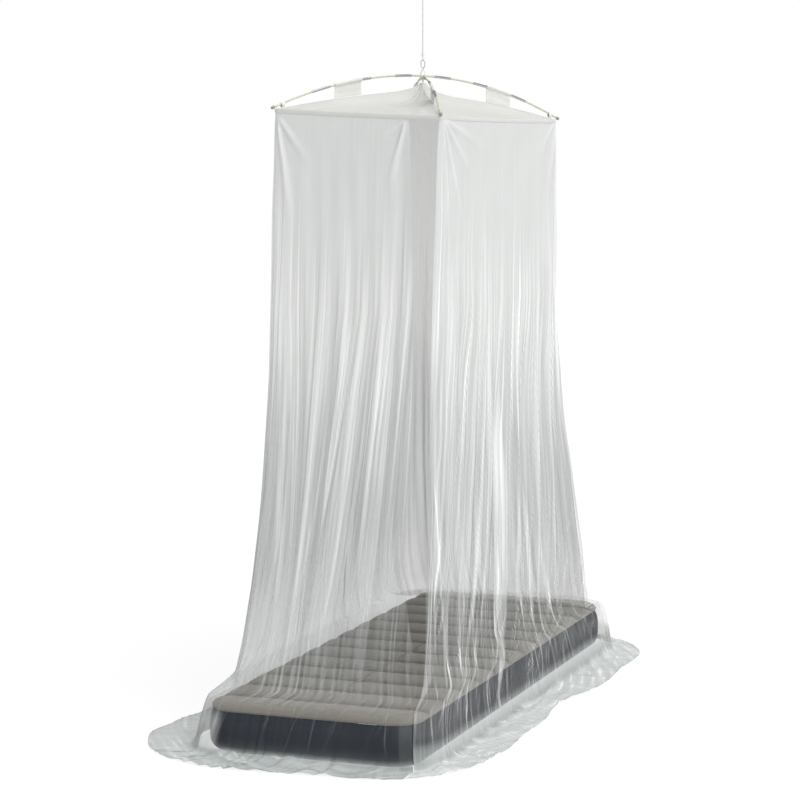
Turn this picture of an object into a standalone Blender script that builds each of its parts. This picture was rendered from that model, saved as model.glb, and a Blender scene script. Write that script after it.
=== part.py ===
"""A box-shaped mosquito net canopy, hung by a cord over an air mattress.

Metres, +Z up. The origin is the centre of the ceiling hook's mounting face, and the
floor lies CEILING_HEIGHT below it. All heights in this file are heights above the
floor: lower_to_floor() lowers the finished pieces. +Y runs along the mattress, away from its
near end, and +X points to the side seen in full. The four corners of the canopy are
called by their sides: near_left, near_right, far_right and far_left.
"""

import math

import bmesh
import bpy
import numpy as np
from mathutils import Matrix, Vector

# ------------------------------------------------------------------ driving dimensions
CEILING_HEIGHT = 2.225
GAP = 0.0003
CLOTH = 0.0012

FRAME_HALF_WIDTH = 0.256
FRAME_HALF_LENGTH = 0.560
CORNER_HEIGHTS = {"near_left": 1.822, "near_right": 1.803, "far_right": 1.784, "far_left": 1.800}
EAVE_SAG = 0.003

POLE_RADIUS = 0.003
FERRULE_RADIUS = 0.004
FERRULE_LENGTH = 0.070
FERRULE_PLACES = (-0.430, -0.258, -0.086, 0.086, 0.258, 0.430)
POLE_LIFT = 0.0012
CROSSING_HEIGHT = 1.920
POLE_END_INSET = 0.001
CAP_RADIUS = 0.0048
CAP_LENGTH = 0.012

TAB_PLACES = (-0.318, 0.338)
TAB_WIDTH = 0.110
TAB_SLEEVE_RADIUS = FERRULE_RADIUS + GAP + CLOTH / 2 + 0.0004
TAB_NECK = 1.25 * TAB_SLEEVE_RADIUS
TAB_WRAP = 290
TAB_STEPS = 6
TAB_LEG_GAP = 0.0010
TAB_CLEAR = 0.0004

CORNER_LOOP_PLACE = 0.582
CORNER_LOOP_WIDTH = 0.012

PEAK_HEIGHT = 1.9005
BINDING_HEIGHT = 0.011

MATTRESS_SHIFT = -0.006
MATTRESS_HALF_WIDTH = 0.330
MATTRESS_HALF_LENGTH = 0.950
MATTRESS_CORNER = 0.100
MATTRESS_SEAM = 0.122
MATTRESS_TOP = 0.150
CHANNELS = 13
CHANNEL_DEPTH = 0.011

CORD_RADIUS = 0.0025
RING_WIRE = 0.0012
RING_HALF_WIDTH = 0.0062
RING_BOTTOM = 1.9445
RING_TOP = 1.9680

LOOP_RADIUS = 0.0018
LOOP_WIDE, LOOP_NARROW = 0.0078, 0.0036
LOOP_SLACK = 0.0004
LOOP_TURN_START, LOOP_TURN_END = 1.925, 1.941
TIE_HALF_WIDTH = 0.003
EYE_RADIUS = 0.0018
EYE_WIDE, EYE_NARROW = 0.0040, 0.0022
CORD_STEPS = 14
KNOT_RADIUS, KNOT_HALF = 0.0045, 0.0050
HOOK_WIRE, HOOK_BEND = 0.0020, 0.0085
HOOK_BOTTOM = 2.186
HOOK_SHANK = 0.008
HOOK_START, HOOK_SWEEP = 125, 245
PLATE_RADIUS, PLATE_THICKNESS = 0.018, 0.004
LOWER_KNOT, UPPER_KNOT = 1.9830, 2.1665

ON_MATTRESS = MATTRESS_TOP + GAP + CLOTH / 2
ON_FLOOR = CLOTH / 2

# The net's wall as level loops, from the eave to the hem: the height of a loop's two
# ends and of its two sides, the radius of its corners, where the entry's edges cross it,
# and the share of the folds' depth that it has.
WALL_LOOPS = (
    # name, end_z, side_z, radius, entry_left, entry_right, fold
    ("eave", 1.800, 1.800, 0.012, 0.160, 0.251, 0.00),
    ("under_binding", 1.787, 1.787, 0.012, 0.160, 0.251, 0.00),
    ("below_eave", 1.745, 1.745, 0.014, 0.163, 0.248, 0.05),
    ("shoulder", 1.600, 1.600, 0.018, 0.167, 0.242, 0.20),
    ("upper", 1.350, 1.350, 0.025, 0.173, 0.234, 0.45),
    ("middle", 1.100, 1.100, 0.035, 0.178, 0.228, 0.80),
    ("waist", 0.850, 0.850, 0.045, 0.174, 0.225, 1.00),
    ("lower", 0.650, 0.650, 0.055, 0.168, 0.225, 1.00),
    ("low", 0.480, 0.480, 0.065, 0.176, 0.231, 0.90),
    ("knee", 0.340, 0.345, 0.075, 0.202, 0.242, 0.75),
    ("sweep", 0.225, 0.240, 0.100, 0.237, 0.254, 0.55),
    ("landing", ON_MATTRESS, 0.176, 0.130, 0.258, 0.268, 0.32),
    ("lip", ON_MATTRESS, 0.148, 0.125, 0.294, 0.303, 0.30),
    ("drop", 0.090, 0.085, 0.125, 0.306, 0.315, 0.45),
    ("foot", 0.016, 0.016, 0.155, 0.312, 0.321, 0.35),
    ("floor", ON_FLOOR, ON_FLOOR, 0.230, 0.316, 0.325, 0.40),
    ("hem", ON_FLOOR, ON_FLOOR, 0.330, 0.312, 0.321, 0.25),
)
# The corners of the same loops, before they are rounded.
WALL_CORNERS = (
    # name, near_left x and y, near_right x and y, far_right x and y, far_left x and y
    ("eave", -0.256, -0.560, 0.256, -0.560, 0.256, 0.560, -0.256, 0.560),
    ("under_binding", -0.256, -0.560, 0.256, -0.560, 0.256, 0.560, -0.256, 0.560),
    ("below_eave", -0.259, -0.561, 0.254, -0.561, 0.257, 0.561, -0.257, 0.561),
    ("shoulder", -0.262, -0.563, 0.250, -0.562, 0.260, 0.563, -0.259, 0.563),
    ("upper", -0.269, -0.567, 0.244, -0.565, 0.264, 0.567, -0.264, 0.567),
    ("middle", -0.278, -0.574, 0.239, -0.571, 0.269, 0.575, -0.274, 0.575),
    ("waist", -0.292, -0.586, 0.237, -0.581, 0.287, 0.589, -0.290, 0.590),
    ("lower", -0.306, -0.602, 0.240, -0.597, 0.318, 0.607, -0.307, 0.608),
    ("low", -0.319, -0.626, 0.248, -0.627, 0.339, 0.632, -0.324, 0.633),
    ("knee", -0.332, -0.662, 0.261, -0.668, 0.353, 0.664, -0.339, 0.665),
    ("sweep", -0.340, -0.722, 0.278, -0.716, 0.356, 0.720, -0.350, 0.720),
    ("landing", -0.346, -0.805, 0.319, -0.800, 0.352, 0.802, -0.356, 0.800),
    ("lip", -0.352, -0.926, 0.344, -0.926, 0.350, 0.922, -0.360, 0.926),
    ("drop", -0.362, -0.967, 0.356, -0.970, 0.358, 0.966, -0.370, 0.968),
    ("foot", -0.386, -0.985, 0.370, -0.988, 0.376, 0.980, -0.390, 0.985),
    ("floor", -0.436, -1.022, 0.394, -1.020, 0.412, 0.998, -0.430, 1.000),
    ("hem", -0.556, -1.082, 0.458, -1.082, 0.504, 1.050, -0.540, 1.050),
)

# The main folds of each wall panel. place_high and place_low are fractions of the way
# along the wall between its corners, at 1.0 m and at 0.4 m above the floor. start is
# the height where the fold begins; width and depth are in metres, and a depth below
# zero is a trough.
FRONT_FOLDS = (
    # place_high, place_low, start, width, depth
    (0.035, 0.035, 1.80, 0.030, 0.012),
    (0.090, 0.150, 1.65, 0.034, 0.012),
    (0.180, 0.215, 1.55, 0.036, -0.010),
    (0.300, 0.270, 1.45, 0.050, 0.014),
    (0.380, 0.320, 1.35, 0.040, -0.012),
    (0.460, 0.375, 1.35, 0.040, 0.014),
    (0.530, 0.430, 1.35, 0.036, 0.012),
    (0.600, 0.500, 1.40, 0.044, -0.012),
    (0.690, 0.610, 1.50, 0.044, 0.014),
    (0.745, 0.675, 1.78, 0.036, -0.014),
)
RIGHT_FOLDS = (
    (0.050, 0.040, 1.80, 0.044, -0.014),
    (0.120, 0.060, 1.65, 0.052, 0.016),
    (0.200, 0.110, 1.35, 0.050, -0.012),
    (0.285, 0.180, 1.40, 0.052, 0.016),
    (0.380, 0.290, 1.40, 0.070, 0.020),
    (0.480, 0.390, 1.30, 0.070, -0.014),
    (0.600, 0.520, 1.35, 0.056, 0.018),
    (0.680, 0.570, 1.30, 0.060, -0.014),
    (0.760, 0.640, 1.40, 0.050, 0.016),
    (0.865, 0.760, 1.70, 0.048, 0.015),
    (0.955, 0.885, 1.80, 0.040, -0.014),
)
BACK_FOLDS = (
    (0.060, 0.080, 1.75, 0.044, -0.013),
    (0.170, 0.200, 1.55, 0.048, 0.015),
    (0.330, 0.340, 1.35, 0.056, 0.015),
    (0.500, 0.480, 1.30, 0.060, -0.012),
    (0.640, 0.620, 1.40, 0.052, 0.016),
    (0.800, 0.760, 1.50, 0.046, 0.014),
    (0.940, 0.930, 1.75, 0.044, -0.013),
)
LEFT_FOLDS = (
    (0.040, 0.060, 1.78, 0.044, -0.013),
    (0.130, 0.160, 1.60, 0.052, 0.016),
    (0.240, 0.270, 1.40, 0.060, 0.014),
    (0.350, 0.370, 1.30, 0.062, -0.013),
    (0.460, 0.470, 1.35, 0.058, 0.017),
    (0.580, 0.590, 1.30, 0.064, 0.015),
    (0.690, 0.700, 1.30, 0.060, -0.013),
    (0.800, 0.790, 1.45, 0.054, 0.016),
    (0.930, 0.910, 1.75, 0.044, 0.014),
)
FOLDS = {"front": FRONT_FOLDS, "right": RIGHT_FOLDS, "back": BACK_FOLDS, "left": LEFT_FOLDS}
PLACE_HIGH_AT, PLACE_LOW_AT = 1.0, 0.4
DRIFT_FROM, DRIFT_TO = -0.4, 1.15
FOLD_RISE = 0.60

# Where the hem on the floor swings out or in from its plain loop: the wall, the place as
# a fraction of the wall, the width and the depth in metres.
HEM_WAVES = (
    # wall, place, width, depth
    ("front", 0.33, 0.20, 0.014),
    ("front", 0.72, 0.14, -0.012),
    ("right", 0.22, 0.22, 0.012),
    ("right", 0.50, 0.26, -0.030),
    ("right", 0.68, 0.24, 0.014),
    ("back", 0.30, 0.22, 0.018),
    ("back", 0.66, 0.20, -0.015),
    ("left", 0.20, 0.24, -0.014),
    ("left", 0.45, 0.30, 0.018),
    ("left", 0.70, 0.20, -0.022),
    ("left", 0.86, 0.16, 0.012),
)
HEM_SHARE = {"floor": 0.4, "hem": 1.0}

ROWS_PER_LOOP = (1, 1, 1, 1, 1, 2, 1, 1, 1, 1, 1, 1, 2, 1, 1, 2)
COLUMNS_PER_FOLD = {"front": 3, "right": 3, "back": 2, "left": 2}
CORNER_STEPS = (0.004, 0.010)
SEAM_GAP = 0.0008
WALL_TOP_DROP = 0.0012

# The roof from its edge to its peak: fraction of the way from the peak to the edge, and
# how much of the peak's rise it has there, along the hips and between them.
ROOF_RINGS = (
    # fraction, rise_on_hip, rise_between
    (1.00, 0.00, 0.00),
    (0.92, 0.08, 0.03),
    (0.65, 0.33, 0.13),
    (0.42, 0.50, 0.26),
    (0.20, 0.64, 0.46),
    (0.08, 0.78, 0.70),
    (0.02, 0.96, 0.94),
)
ROOF_STEPS = 7
HIP_SHARPNESS = 2.2

# The mattress's sections, from the floor up.
BASE_SECTIONS = (
    # inset, height
    (0.040, 0.0),
    (0.016, 0.010),
    (0.003, 0.032),
    (0.000, 0.062),
    (0.003, 0.095),
    (0.012, MATTRESS_SEAM),
)
TOP_SECTIONS = (
    # inset, height, share of the channel depth
    (0.0125, MATTRESS_SEAM + GAP, 0.0),
    (0.0080, 0.130, 0.3),
    (0.0170, 0.141, 0.6),
    (0.0380, 0.148, 0.9),
    (0.0600, MATTRESS_TOP, 1.0),
    (0.2600, MATTRESS_TOP, 1.0),
)

COLOURS = {
    "net": (0.80, 0.82, 0.81, 1.0),
    "roof_cloth": (0.78, 0.79, 0.74, 1.0),
    "tape": (0.82, 0.83, 0.80, 1.0),
    "fibreglass": (0.62, 0.61, 0.46, 1.0),
    "steel": (0.55, 0.56, 0.57, 1.0),
    "dark_rubber": (0.07, 0.07, 0.07, 1.0),
    "cord": (0.75, 0.75, 0.73, 1.0),
    "flocked_top": (0.26, 0.24, 0.20, 1.0),
    "navy_side": (0.030, 0.038, 0.055, 1.0),
}
ROUGHNESS = {"steel": 0.35, "fibreglass": 0.45}


# ------------------------------------------------------------------ small tools
def clear_scene():
    for obj in list(bpy.data.objects):
        bpy.data.objects.remove(obj, do_unlink=True)


def material(name):
    found = bpy.data.materials.get(name)
    if found:
        return found
    made = bpy.data.materials.new(name)
    made.use_nodes = True
    shader = made.node_tree.nodes["Principled BSDF"]
    shader.inputs["Base Color"].default_value = COLOURS[name]
    shader.inputs["Roughness"].default_value = ROUGHNESS.get(name, 0.85)
    shader.inputs["Metallic"].default_value = 1.0 if name == "steel" else 0.0
    return made


def new_object(name, data, slot):
    obj = bpy.data.objects.new(name, data)
    data.materials.append(material(slot))
    CANOPY.objects.link(obj)
    return obj


def mesh_from(name, points, faces):
    mesh = bpy.data.meshes.new(name)
    mesh.from_pydata([tuple(p) for p in points], [], faces)
    shape = bmesh.new()
    shape.from_mesh(mesh)
    bmesh.ops.recalc_face_normals(shape, faces=shape.faces)
    shape.to_mesh(mesh)
    shape.free()
    return mesh


def smooth(mesh, angle=50):
    mesh.shade_smooth()
    mesh.set_sharp_from_angle(angle=math.radians(angle))


def thicken(obj, thickness=CLOTH):
    """Gives an open sheet its thickness, half to each side."""
    solid = obj.modifiers.new("thickness", "SOLIDIFY")
    solid.thickness = thickness
    solid.offset = 0.0
    return obj


def grid_sheet(name, rows, slot, closed=False):
    """A cloth through rows of points, each row joined end to start when closed."""
    count = len(rows[0])
    points = [p for row in rows for p in row]
    across = range(count if closed else count - 1)
    faces = []
    for r in range(len(rows) - 1):
        for c in across:
            d = (c + 1) % count
            faces.append((r * count + c, r * count + d, (r + 1) * count + d, (r + 1) * count + c))
    mesh = bpy.data.meshes.new(name)
    mesh.from_pydata([tuple(p) for p in points], [], faces)
    smooth(mesh)
    return thicken(new_object(name, mesh, slot))


def loft(name, loops, slot):
    """A closed solid through closed loops of the same number of points, capped at both ends."""
    count = len(loops[0])
    points = [p for loop in loops for p in loop]
    faces = []
    for r in range(len(loops) - 1):
        for c in range(count):
            d = (c + 1) % count
            faces.append((r * count + c, r * count + d, (r + 1) * count + d, (r + 1) * count + c))
    faces.append(tuple(reversed(range(count))))
    faces.append(tuple((len(loops) - 1) * count + c for c in range(count)))
    mesh = mesh_from(name, points, faces)
    smooth(mesh)
    return new_object(name, mesh, slot)


def tube(name, points, radius, slot, resolution=2, cyclic=False):
    curve = bpy.data.curves.new(name, "CURVE")
    curve.dimensions = "3D"
    curve.bevel_depth = radius
    curve.bevel_resolution = resolution
    curve.use_fill_caps = not cyclic
    spline = curve.splines.new("POLY")
    spline.points.add(len(points) - 1)
    for point, place in zip(spline.points, points):
        point.co = (*place, 1.0)
    spline.use_cyclic_u = cyclic
    return new_object(name, curve, slot)


def as_mesh(obj):
    """The same object as a plain mesh with its caps welded, for a Boolean."""
    graph = bpy.context.evaluated_depsgraph_get()
    mesh = bpy.data.meshes.new_from_object(obj.evaluated_get(graph))
    shape = bmesh.new()
    shape.from_mesh(mesh)
    bmesh.ops.remove_doubles(shape, verts=shape.verts, dist=1e-6)
    shape.to_mesh(mesh)
    shape.free()
    made = bpy.data.objects.new(obj.name, mesh)
    made.matrix_world = obj.matrix_world
    name = obj.name
    bpy.data.objects.remove(obj, do_unlink=True)
    made.name = name
    return made


def joined(main, others):
    """One solid from overlapping ones; the others become hidden helpers."""
    main = as_mesh(main)
    CANOPY.objects.link(main)
    for other in others:
        other = as_mesh(other)
        HELPERS.objects.link(other)
        other.hide_render = True
        other.display_type = "WIRE"
        union = main.modifiers.new("join_" + other.name, "BOOLEAN")
        union.operation = "UNION"
        union.object = other
    return main


def bell(x):
    """1 at the middle, 0 from -1 and 1 outwards, with level ends."""
    return 0.5 + 0.5 * math.cos(math.pi * x) if abs(x) < 1 else 0.0


def ease(x):
    x = min(1.0, max(0.0, x))
    return x * x * (3 - 2 * x)


def between(a, b, t):
    return a + (b - a) * t


def through(values, t):
    """A smooth curve through evenly placed values, t running from 0 to their last index."""
    last = len(values) - 1
    i = min(last - 1, max(0, int(t)))
    t -= i
    a, b = values[i], values[i + 1]
    before = values[i - 1] if i else 2 * a - b
    after = values[i + 2] if i + 2 <= last else 2 * b - a
    start, end = slope(before, a, b), slope(a, b, after)
    return (
        (2 * t**3 - 3 * t**2 + 1) * a
        + (t**3 - 2 * t**2 + t) * start
        + (3 * t**2 - 2 * t**3) * b
        + (t**3 - t**2) * end
    )


def slope(before, here, after):
    """The slope at a value that never overshoots its neighbours."""
    left, right = here - before, after - here
    return 0.0 if left * right <= 0 else 2 * left * right / (left + right)


# ------------------------------------------------------------------ the frame's lines
def diagonal(pole):
    """Level unit vector along a pole: 'right' runs near_left to far_right, 'left' far_left to near_right."""
    sign = 1 if pole == "right" else -1
    return Vector((FRAME_HALF_WIDTH, sign * FRAME_HALF_LENGTH, 0)).normalized()


def pole_point(pole, along):
    """The pole's centre line. Both poles arch from corner to corner and lean with the frame."""
    reach = math.hypot(FRAME_HALF_WIDTH, FRAME_HALF_LENGTH)
    if pole == "right":
        low, high = CORNER_HEIGHTS["near_left"], CORNER_HEIGHTS["far_right"]
        crossing = CROSSING_HEIGHT
    else:
        low, high = CORNER_HEIGHTS["far_left"], CORNER_HEIGHTS["near_right"]
        crossing = CROSSING_HEIGHT - 2 * POLE_RADIUS - GAP
    lean = (high - low) / (2 * reach)
    end = (high + low) / 2 + POLE_RADIUS + GAP + CLOTH / 2 + POLE_LIFT
    bow = (crossing - end) / reach**2
    height = crossing + lean * along - bow * along**2
    return diagonal(pole) * along + Vector((0, 0, height))


def eave_height(x, y):
    """The tilted frame's edge, from the heights of its four corners, with a slight sag between them."""
    u = (x + FRAME_HALF_WIDTH) / (2 * FRAME_HALF_WIDTH)
    v = (y + FRAME_HALF_LENGTH) / (2 * FRAME_HALF_LENGTH)
    u, v = min(1.0, max(0.0, u)), min(1.0, max(0.0, v))
    near = between(CORNER_HEIGHTS["near_left"], CORNER_HEIGHTS["near_right"], u)
    far = between(CORNER_HEIGHTS["far_left"], CORNER_HEIGHTS["far_right"], u)
    sag = EAVE_SAG * 4 * min(1.0, u * (1 - u) + v * (1 - v))
    return between(near, far, v) - sag


# ------------------------------------------------------------------ the net's wall
LOOP_COLUMNS = (
    *("end_z", "side_z", "radius", "entry_left", "entry_right", "fold"),
    *("nl_x", "nl_y", "nr_x", "nr_y", "fr_x", "fr_y", "fl_x", "fl_y"),
)


def loop_values(row):
    """One level loop of the wall at a fractional row of its tables, as a dictionary."""
    columns = [*list(zip(*WALL_LOOPS))[1:], *list(zip(*WALL_CORNERS))[1:]]
    return {name: through(column, row) for name, column in zip(LOOP_COLUMNS, columns)}


def rounded_loop(values):
    """Points of the loop with their running length, and the length at the middle of each corner."""
    corners = [Vector((values[c + "_x"], values[c + "_y"])) for c in ("nl", "nr", "fr", "fl")]
    points, middles = [], []
    steps = 12
    for i, corner in enumerate(corners):
        into = (corner - corners[i - 1]).normalized()
        out = (corners[(i + 1) % 4] - corner).normalized()
        turn = into.angle(out)
        start = corner - into * values["radius"] * math.tan(turn / 2)
        centre = start + Vector((-into.y, into.x)) * values["radius"]
        for k in range(steps + 1):
            arm = (start - centre).copy()
            arm.rotate(Matrix.Rotation(turn * k / steps, 2))
            points.append(centre + arm)
            if k == steps // 2:
                middles.append(len(points) - 1)
    points.append(points[0])
    places = np.array([(p.x, p.y) for p in points])
    lengths = np.concatenate([[0], np.cumsum(np.hypot(*np.diff(places, axis=0).T))])
    return places, lengths, [lengths[m] for m in middles]


def panel_span(panel, values, places, lengths, middles):
    """The running lengths where a panel starts and ends, and those of its wall's two corners."""
    near_wall = (lengths >= middles[0]) & (lengths <= middles[1])
    x, s = places[near_wall, 0], lengths[near_wall]
    half = SEAM_GAP / 2
    round_trip = lengths[-1]
    if panel == "front":
        return middles[0] + half, np.interp(values["entry_left"], x, s), middles[0], middles[1]
    if panel == "right":
        return np.interp(values["entry_right"], x, s), middles[2] - half, middles[1], middles[2]
    if panel == "back":
        return middles[2] + half, middles[3] - half, middles[2], middles[3]
    return middles[3] + half, round_trip + middles[0] - half, middles[3], round_trip + middles[0]


def wall_height(values, end_share, x, y):
    """Height of a loop where it runs: the ends and the sides of a loop differ near the mattress."""
    height = between(values["side_z"], values["end_z"], end_share)
    hang = ease((height - 1.2) / 0.6)
    return height + hang * (eave_height(x, y) - WALL_LOOPS[0][1])


def fold_place(fold, height):
    """Where a fold's crest lies along its wall at a height: it drifts on the way down."""
    drift = (PLACE_HIGH_AT - height) / (PLACE_HIGH_AT - PLACE_LOW_AT)
    return between(fold[0], fold[1], min(DRIFT_TO, max(DRIFT_FROM, drift)))


def fold_push(folds, place, height, wall_length, strength):
    """How far the folds push the cloth out of its plain loop."""
    total = 0.0
    for fold in folds:
        _, _, start, width, depth = fold
        grown = ease((start - height) / FOLD_RISE)
        total += depth * grown * bell((place - fold_place(fold, height)) * wall_length / width)
    return total * strength


def hem_share(row):
    """How far a row follows the hem's swings: only the rows on the floor do."""
    names = [loop[0] for loop in WALL_LOOPS]
    shares = [HEM_SHARE.get(name, 0.0) for name in names]
    return np.interp(row, range(len(names)), shares)


def hem_swing(panel, place, wall_length):
    waves = [wave for wave in HEM_WAVES if wave[0] == panel]
    return sum(depth * bell((place - middle) * wall_length / width) for _, middle, width, depth in waves)


def panel_columns(panel, height, start, end, first, last):
    """Running lengths of a row's points. They follow the folds' crests down, and lie closer at the edges."""
    crests = [between(first, last, fold_place(fold, height)) for fold in FOLDS[panel]]
    close, wide = CORNER_STEPS
    keys = [start + wide, *crests, end - wide]
    steps = COLUMNS_PER_FOLD[panel]
    inner = [between(a, b, k / steps) for a, b in zip(keys, keys[1:]) for k in range(steps)]
    return [start, start + close, *inner, end - wide, end - close, end]


def panel_rows():
    rows = []
    for loop, parts in enumerate(ROWS_PER_LOOP):
        rows += [loop + k / parts for k in range(parts)]
    return [*rows, len(WALL_LOOPS) - 1.0]


def on_loop(s, places, lengths):
    s %= lengths[-1]
    return Vector((np.interp(s, lengths, places[:, 0]), np.interp(s, lengths, places[:, 1])))


def level_outward(s, places, lengths):
    """The level direction out of a loop at a running length."""
    onward = on_loop(s + 0.0005, places, lengths) - on_loop(s - 0.0005, places, lengths)
    return Vector((onward.y, -onward.x)).normalized()


def plain_row(panel, row):
    """One level row of a panel without folds: its points, their places along the wall, the
    wall's length, and the folds' strength."""
    values = loop_values(row)
    places, lengths, middles = rounded_loop(values)
    start, end, first, last = panel_span(panel, values, places, lengths, middles)
    points, fractions = [], []
    for s in panel_columns(panel, values["side_z"], start, end, first, last):
        fractions.append((s - first) / (last - first))
        x, y = on_loop(s, places, lengths)
        end_y = values["fr_y"] if y > 0 else -values["nr_y"]
        end_share = ease((abs(y) - (end_y - 0.16)) / 0.12)
        height = wall_height(values, end_share, x, y)
        if row == 0:
            height -= WALL_TOP_DROP
        outward = level_outward(s, places, lengths)
        swing = outward * hem_swing(panel, fractions[-1], last - first) * hem_share(row)
        points.append(Vector((x + swing.x, y + swing.y, height)))
    return points, fractions, last - first, values["fold"]


def panel_points(panel):
    folds = FOLDS[panel]
    rows = [plain_row(panel, row) for row in panel_rows()]
    result = []
    for i, (points, fractions, wall_length, strength) in enumerate(rows):
        above, below = rows[max(0, i - 1)][0], rows[min(len(rows) - 1, i + 1)][0]
        line = []
        for j, (point, place) in enumerate(zip(points, fractions)):
            left, right = points[max(0, j - 1)], points[min(len(points) - 1, j + 1)]
            normal = (right - left).cross(above[j] - below[j]).normalized()
            push = fold_push(folds, place, point.z, wall_length, strength)
            if point.z < MATTRESS_TOP + 0.05:
                push = abs(push)
            placed = point + normal * push
            placed.z = max(placed.z, ON_FLOOR)
            line.append(placed)
        result.append(line)
    return result


def make_walls():
    for panel in FOLDS:
        grid_sheet("net_" + panel, panel_points(panel), "net")


# ------------------------------------------------------------------ roof, binding, tabs
def eave_outline(offset):
    """The eave's loop at the panels' own columns, pushed outwards by offset."""
    values = loop_values(0)
    places, lengths, middles = rounded_loop(values)
    outline = []
    for panel in FOLDS:
        span = panel_span(panel, values, places, lengths, middles)
        for s in panel_columns(panel, values["side_z"], *span):
            outline.append(on_loop(s, places, lengths) + level_outward(s, places, lengths) * offset)
    return outline


def make_binding():
    centre = CLOTH / 2 + GAP + CLOTH / 2
    rows = []
    for drop in (-CLOTH / 2, BINDING_HEIGHT):
        rows.append([Vector((p.x, p.y, eave_height(p.x, p.y) - drop)) for p in eave_outline(centre)])
    grid_sheet("eave_binding", rows, "tape", closed=True)


def roof_stations():
    """Level points around the roof's edge with their share of a hip: 1 at a corner, 0 between corners."""
    places, lengths, middles = rounded_loop(loop_values(0))
    stations = []
    for i, middle in enumerate(middles):
        onward = middles[i + 1] if i < 3 else middles[0] + lengths[-1]
        for k in range(ROOF_STEPS):
            t = k / ROOF_STEPS
            hip = abs(2 * t - 1) ** HIP_SHARPNESS
            stations.append((on_loop(between(middle, onward, t), places, lengths), hip))
    return stations


def roof_point(edge, hip, ring):
    fraction, on_hip, off_hip = ring
    edge_height = eave_height(edge.x, edge.y)
    rise = between(off_hip, on_hip, hip)
    return Vector((edge.x * fraction, edge.y * fraction, between(edge_height, PEAK_HEIGHT, rise)))


def make_roof():
    stations = roof_stations()
    rows = [[roof_point(edge, hip, ring) for edge, hip in stations] for ring in ROOF_RINGS]
    roof = grid_sheet("roof_panel", rows, "roof_cloth", closed=True)
    shape = bmesh.new()
    shape.from_mesh(roof.data)
    reach = 2 * ROOF_RINGS[-1][0] * FRAME_HALF_LENGTH
    opening = [e for e in shape.edges if e.is_boundary and max(v.co.to_2d().length for v in e.verts) < reach]
    bmesh.ops.contextual_create(shape, geom=opening)
    shape.to_mesh(roof.data)
    shape.free()


def hip_height(pole, along):
    """The roof's top surface under a pole, on the straight facets between the roof's rings."""
    way = diagonal(pole) * along
    corner = [p for p, hip in roof_stations() if hip == 1 and p.x * way.x > 0 and p.y * way.y > 0][0]
    fraction = abs(along) / corner.length
    shares = [(ring[0], ring[1]) for ring in reversed(ROOF_RINGS)]
    rise = np.interp(fraction, [s[0] for s in shares], [s[1] for s in shares])
    return between(eave_height(corner.x, corner.y), PEAK_HEIGHT, rise) + CLOTH / 2


def across(pole):
    way = diagonal(pole)
    return Vector((-way.y, way.x, 0))


def make_tabs():
    """Folded tabs: a sleeve over the pole whose two legs come down to the roof's hip."""
    leg = (CLOTH + TAB_LEG_GAP) / 2
    for pole in ("right", "left"):
        for place in TAB_PLACES:
            rows = []
            for k in range(4):
                along = place + TAB_WIDTH * (k / 3 - 0.5)
                centre = pole_point(pole, along)
                foot = hip_height(pole, along) + GAP + TAB_CLEAR - centre.z
                neck = -TAB_NECK
                section = [(-leg, foot), (-leg, neck)]
                for step in range(TAB_STEPS + 1):
                    turn = math.radians(TAB_WRAP * (step / TAB_STEPS - 0.5))
                    section.append((TAB_SLEEVE_RADIUS * math.sin(turn), TAB_SLEEVE_RADIUS * math.cos(turn)))
                section += [(leg, neck), (leg, foot)]
                rows.append([centre + across(pole) * x + Vector((0, 0, z)) for x, z in section])
            side = "near" if (place < 0) == (pole == "right") else "far"
            grid_sheet(f"pole_tab_{pole}_{side}", rows, "tape")


def make_corner_loops():
    """Closed tape bands, sewn to the roof near its corners, that the poles run through."""
    radius = POLE_RADIUS + 2 * GAP + CLOTH / 2
    steps = 6
    for pole in ("right", "left"):
        for place in (-CORNER_LOOP_PLACE, CORNER_LOOP_PLACE):
            rows = []
            for end in (-0.5, 0.5):
                along = place + CORNER_LOOP_WIDTH * end
                centre = pole_point(pole, along)
                low = hip_height(pole, along) + GAP + CLOTH / 2 + radius - centre.z
                section = []
                for middle, begin in ((0.0, 0), (low, 180)):
                    for step in range(steps + 1):
                        angle = math.radians(begin + 180 * step / steps)
                        section.append((radius * math.cos(angle), middle + radius * math.sin(angle)))
                rows.append([centre + across(pole) * x + Vector((0, 0, z)) for x, z in section])
            side = "near" if (place < 0) == (pole == "right") else "far"
            grid_sheet(f"corner_loop_{pole}_{side}", rows, "tape", closed=True)


# ------------------------------------------------------------------ poles
def pole_run(pole, start, end, spacing=0.030):
    count = max(2, round((end - start) / spacing) + 1)
    return [pole_point(pole, between(start, end, k / (count - 1))) for k in range(count)]


def make_poles():
    """Rod sections that end in steel ferrules, with a rubber cap at each tip."""
    corner = math.hypot(FRAME_HALF_WIDTH, FRAME_HALF_LENGTH)
    reach = corner - POLE_END_INSET
    half = FERRULE_LENGTH / 2
    for pole in ("right", "left"):
        start = -reach
        for i, place in enumerate(FERRULE_PLACES):
            rod = pole_run(pole, start, place - half - GAP)
            tube(f"pole_{pole}_rod_{i + 1}", rod, POLE_RADIUS, "fibreglass")
            ferrule = pole_run(pole, place - half, place + half)
            tube(f"pole_{pole}_ferrule_{i + 1}", ferrule, FERRULE_RADIUS, "steel")
            start = place + half + GAP
        last_rod = pole_run(pole, start, reach)
        tube(f"pole_{pole}_rod_{len(FERRULE_PLACES) + 1}", last_rod, POLE_RADIUS, "fibreglass")
        first, last = ("near", "far") if pole == "right" else ("far", "near")
        for side, sign in ((first, -1), (last, 1)):
            ends = [pole_point(pole, sign * (reach + GAP + step)) for step in (0, CAP_LENGTH)]
            tube(f"pole_{pole}_cap_{side}", ends, CAP_RADIUS, "dark_rubber")


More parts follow.
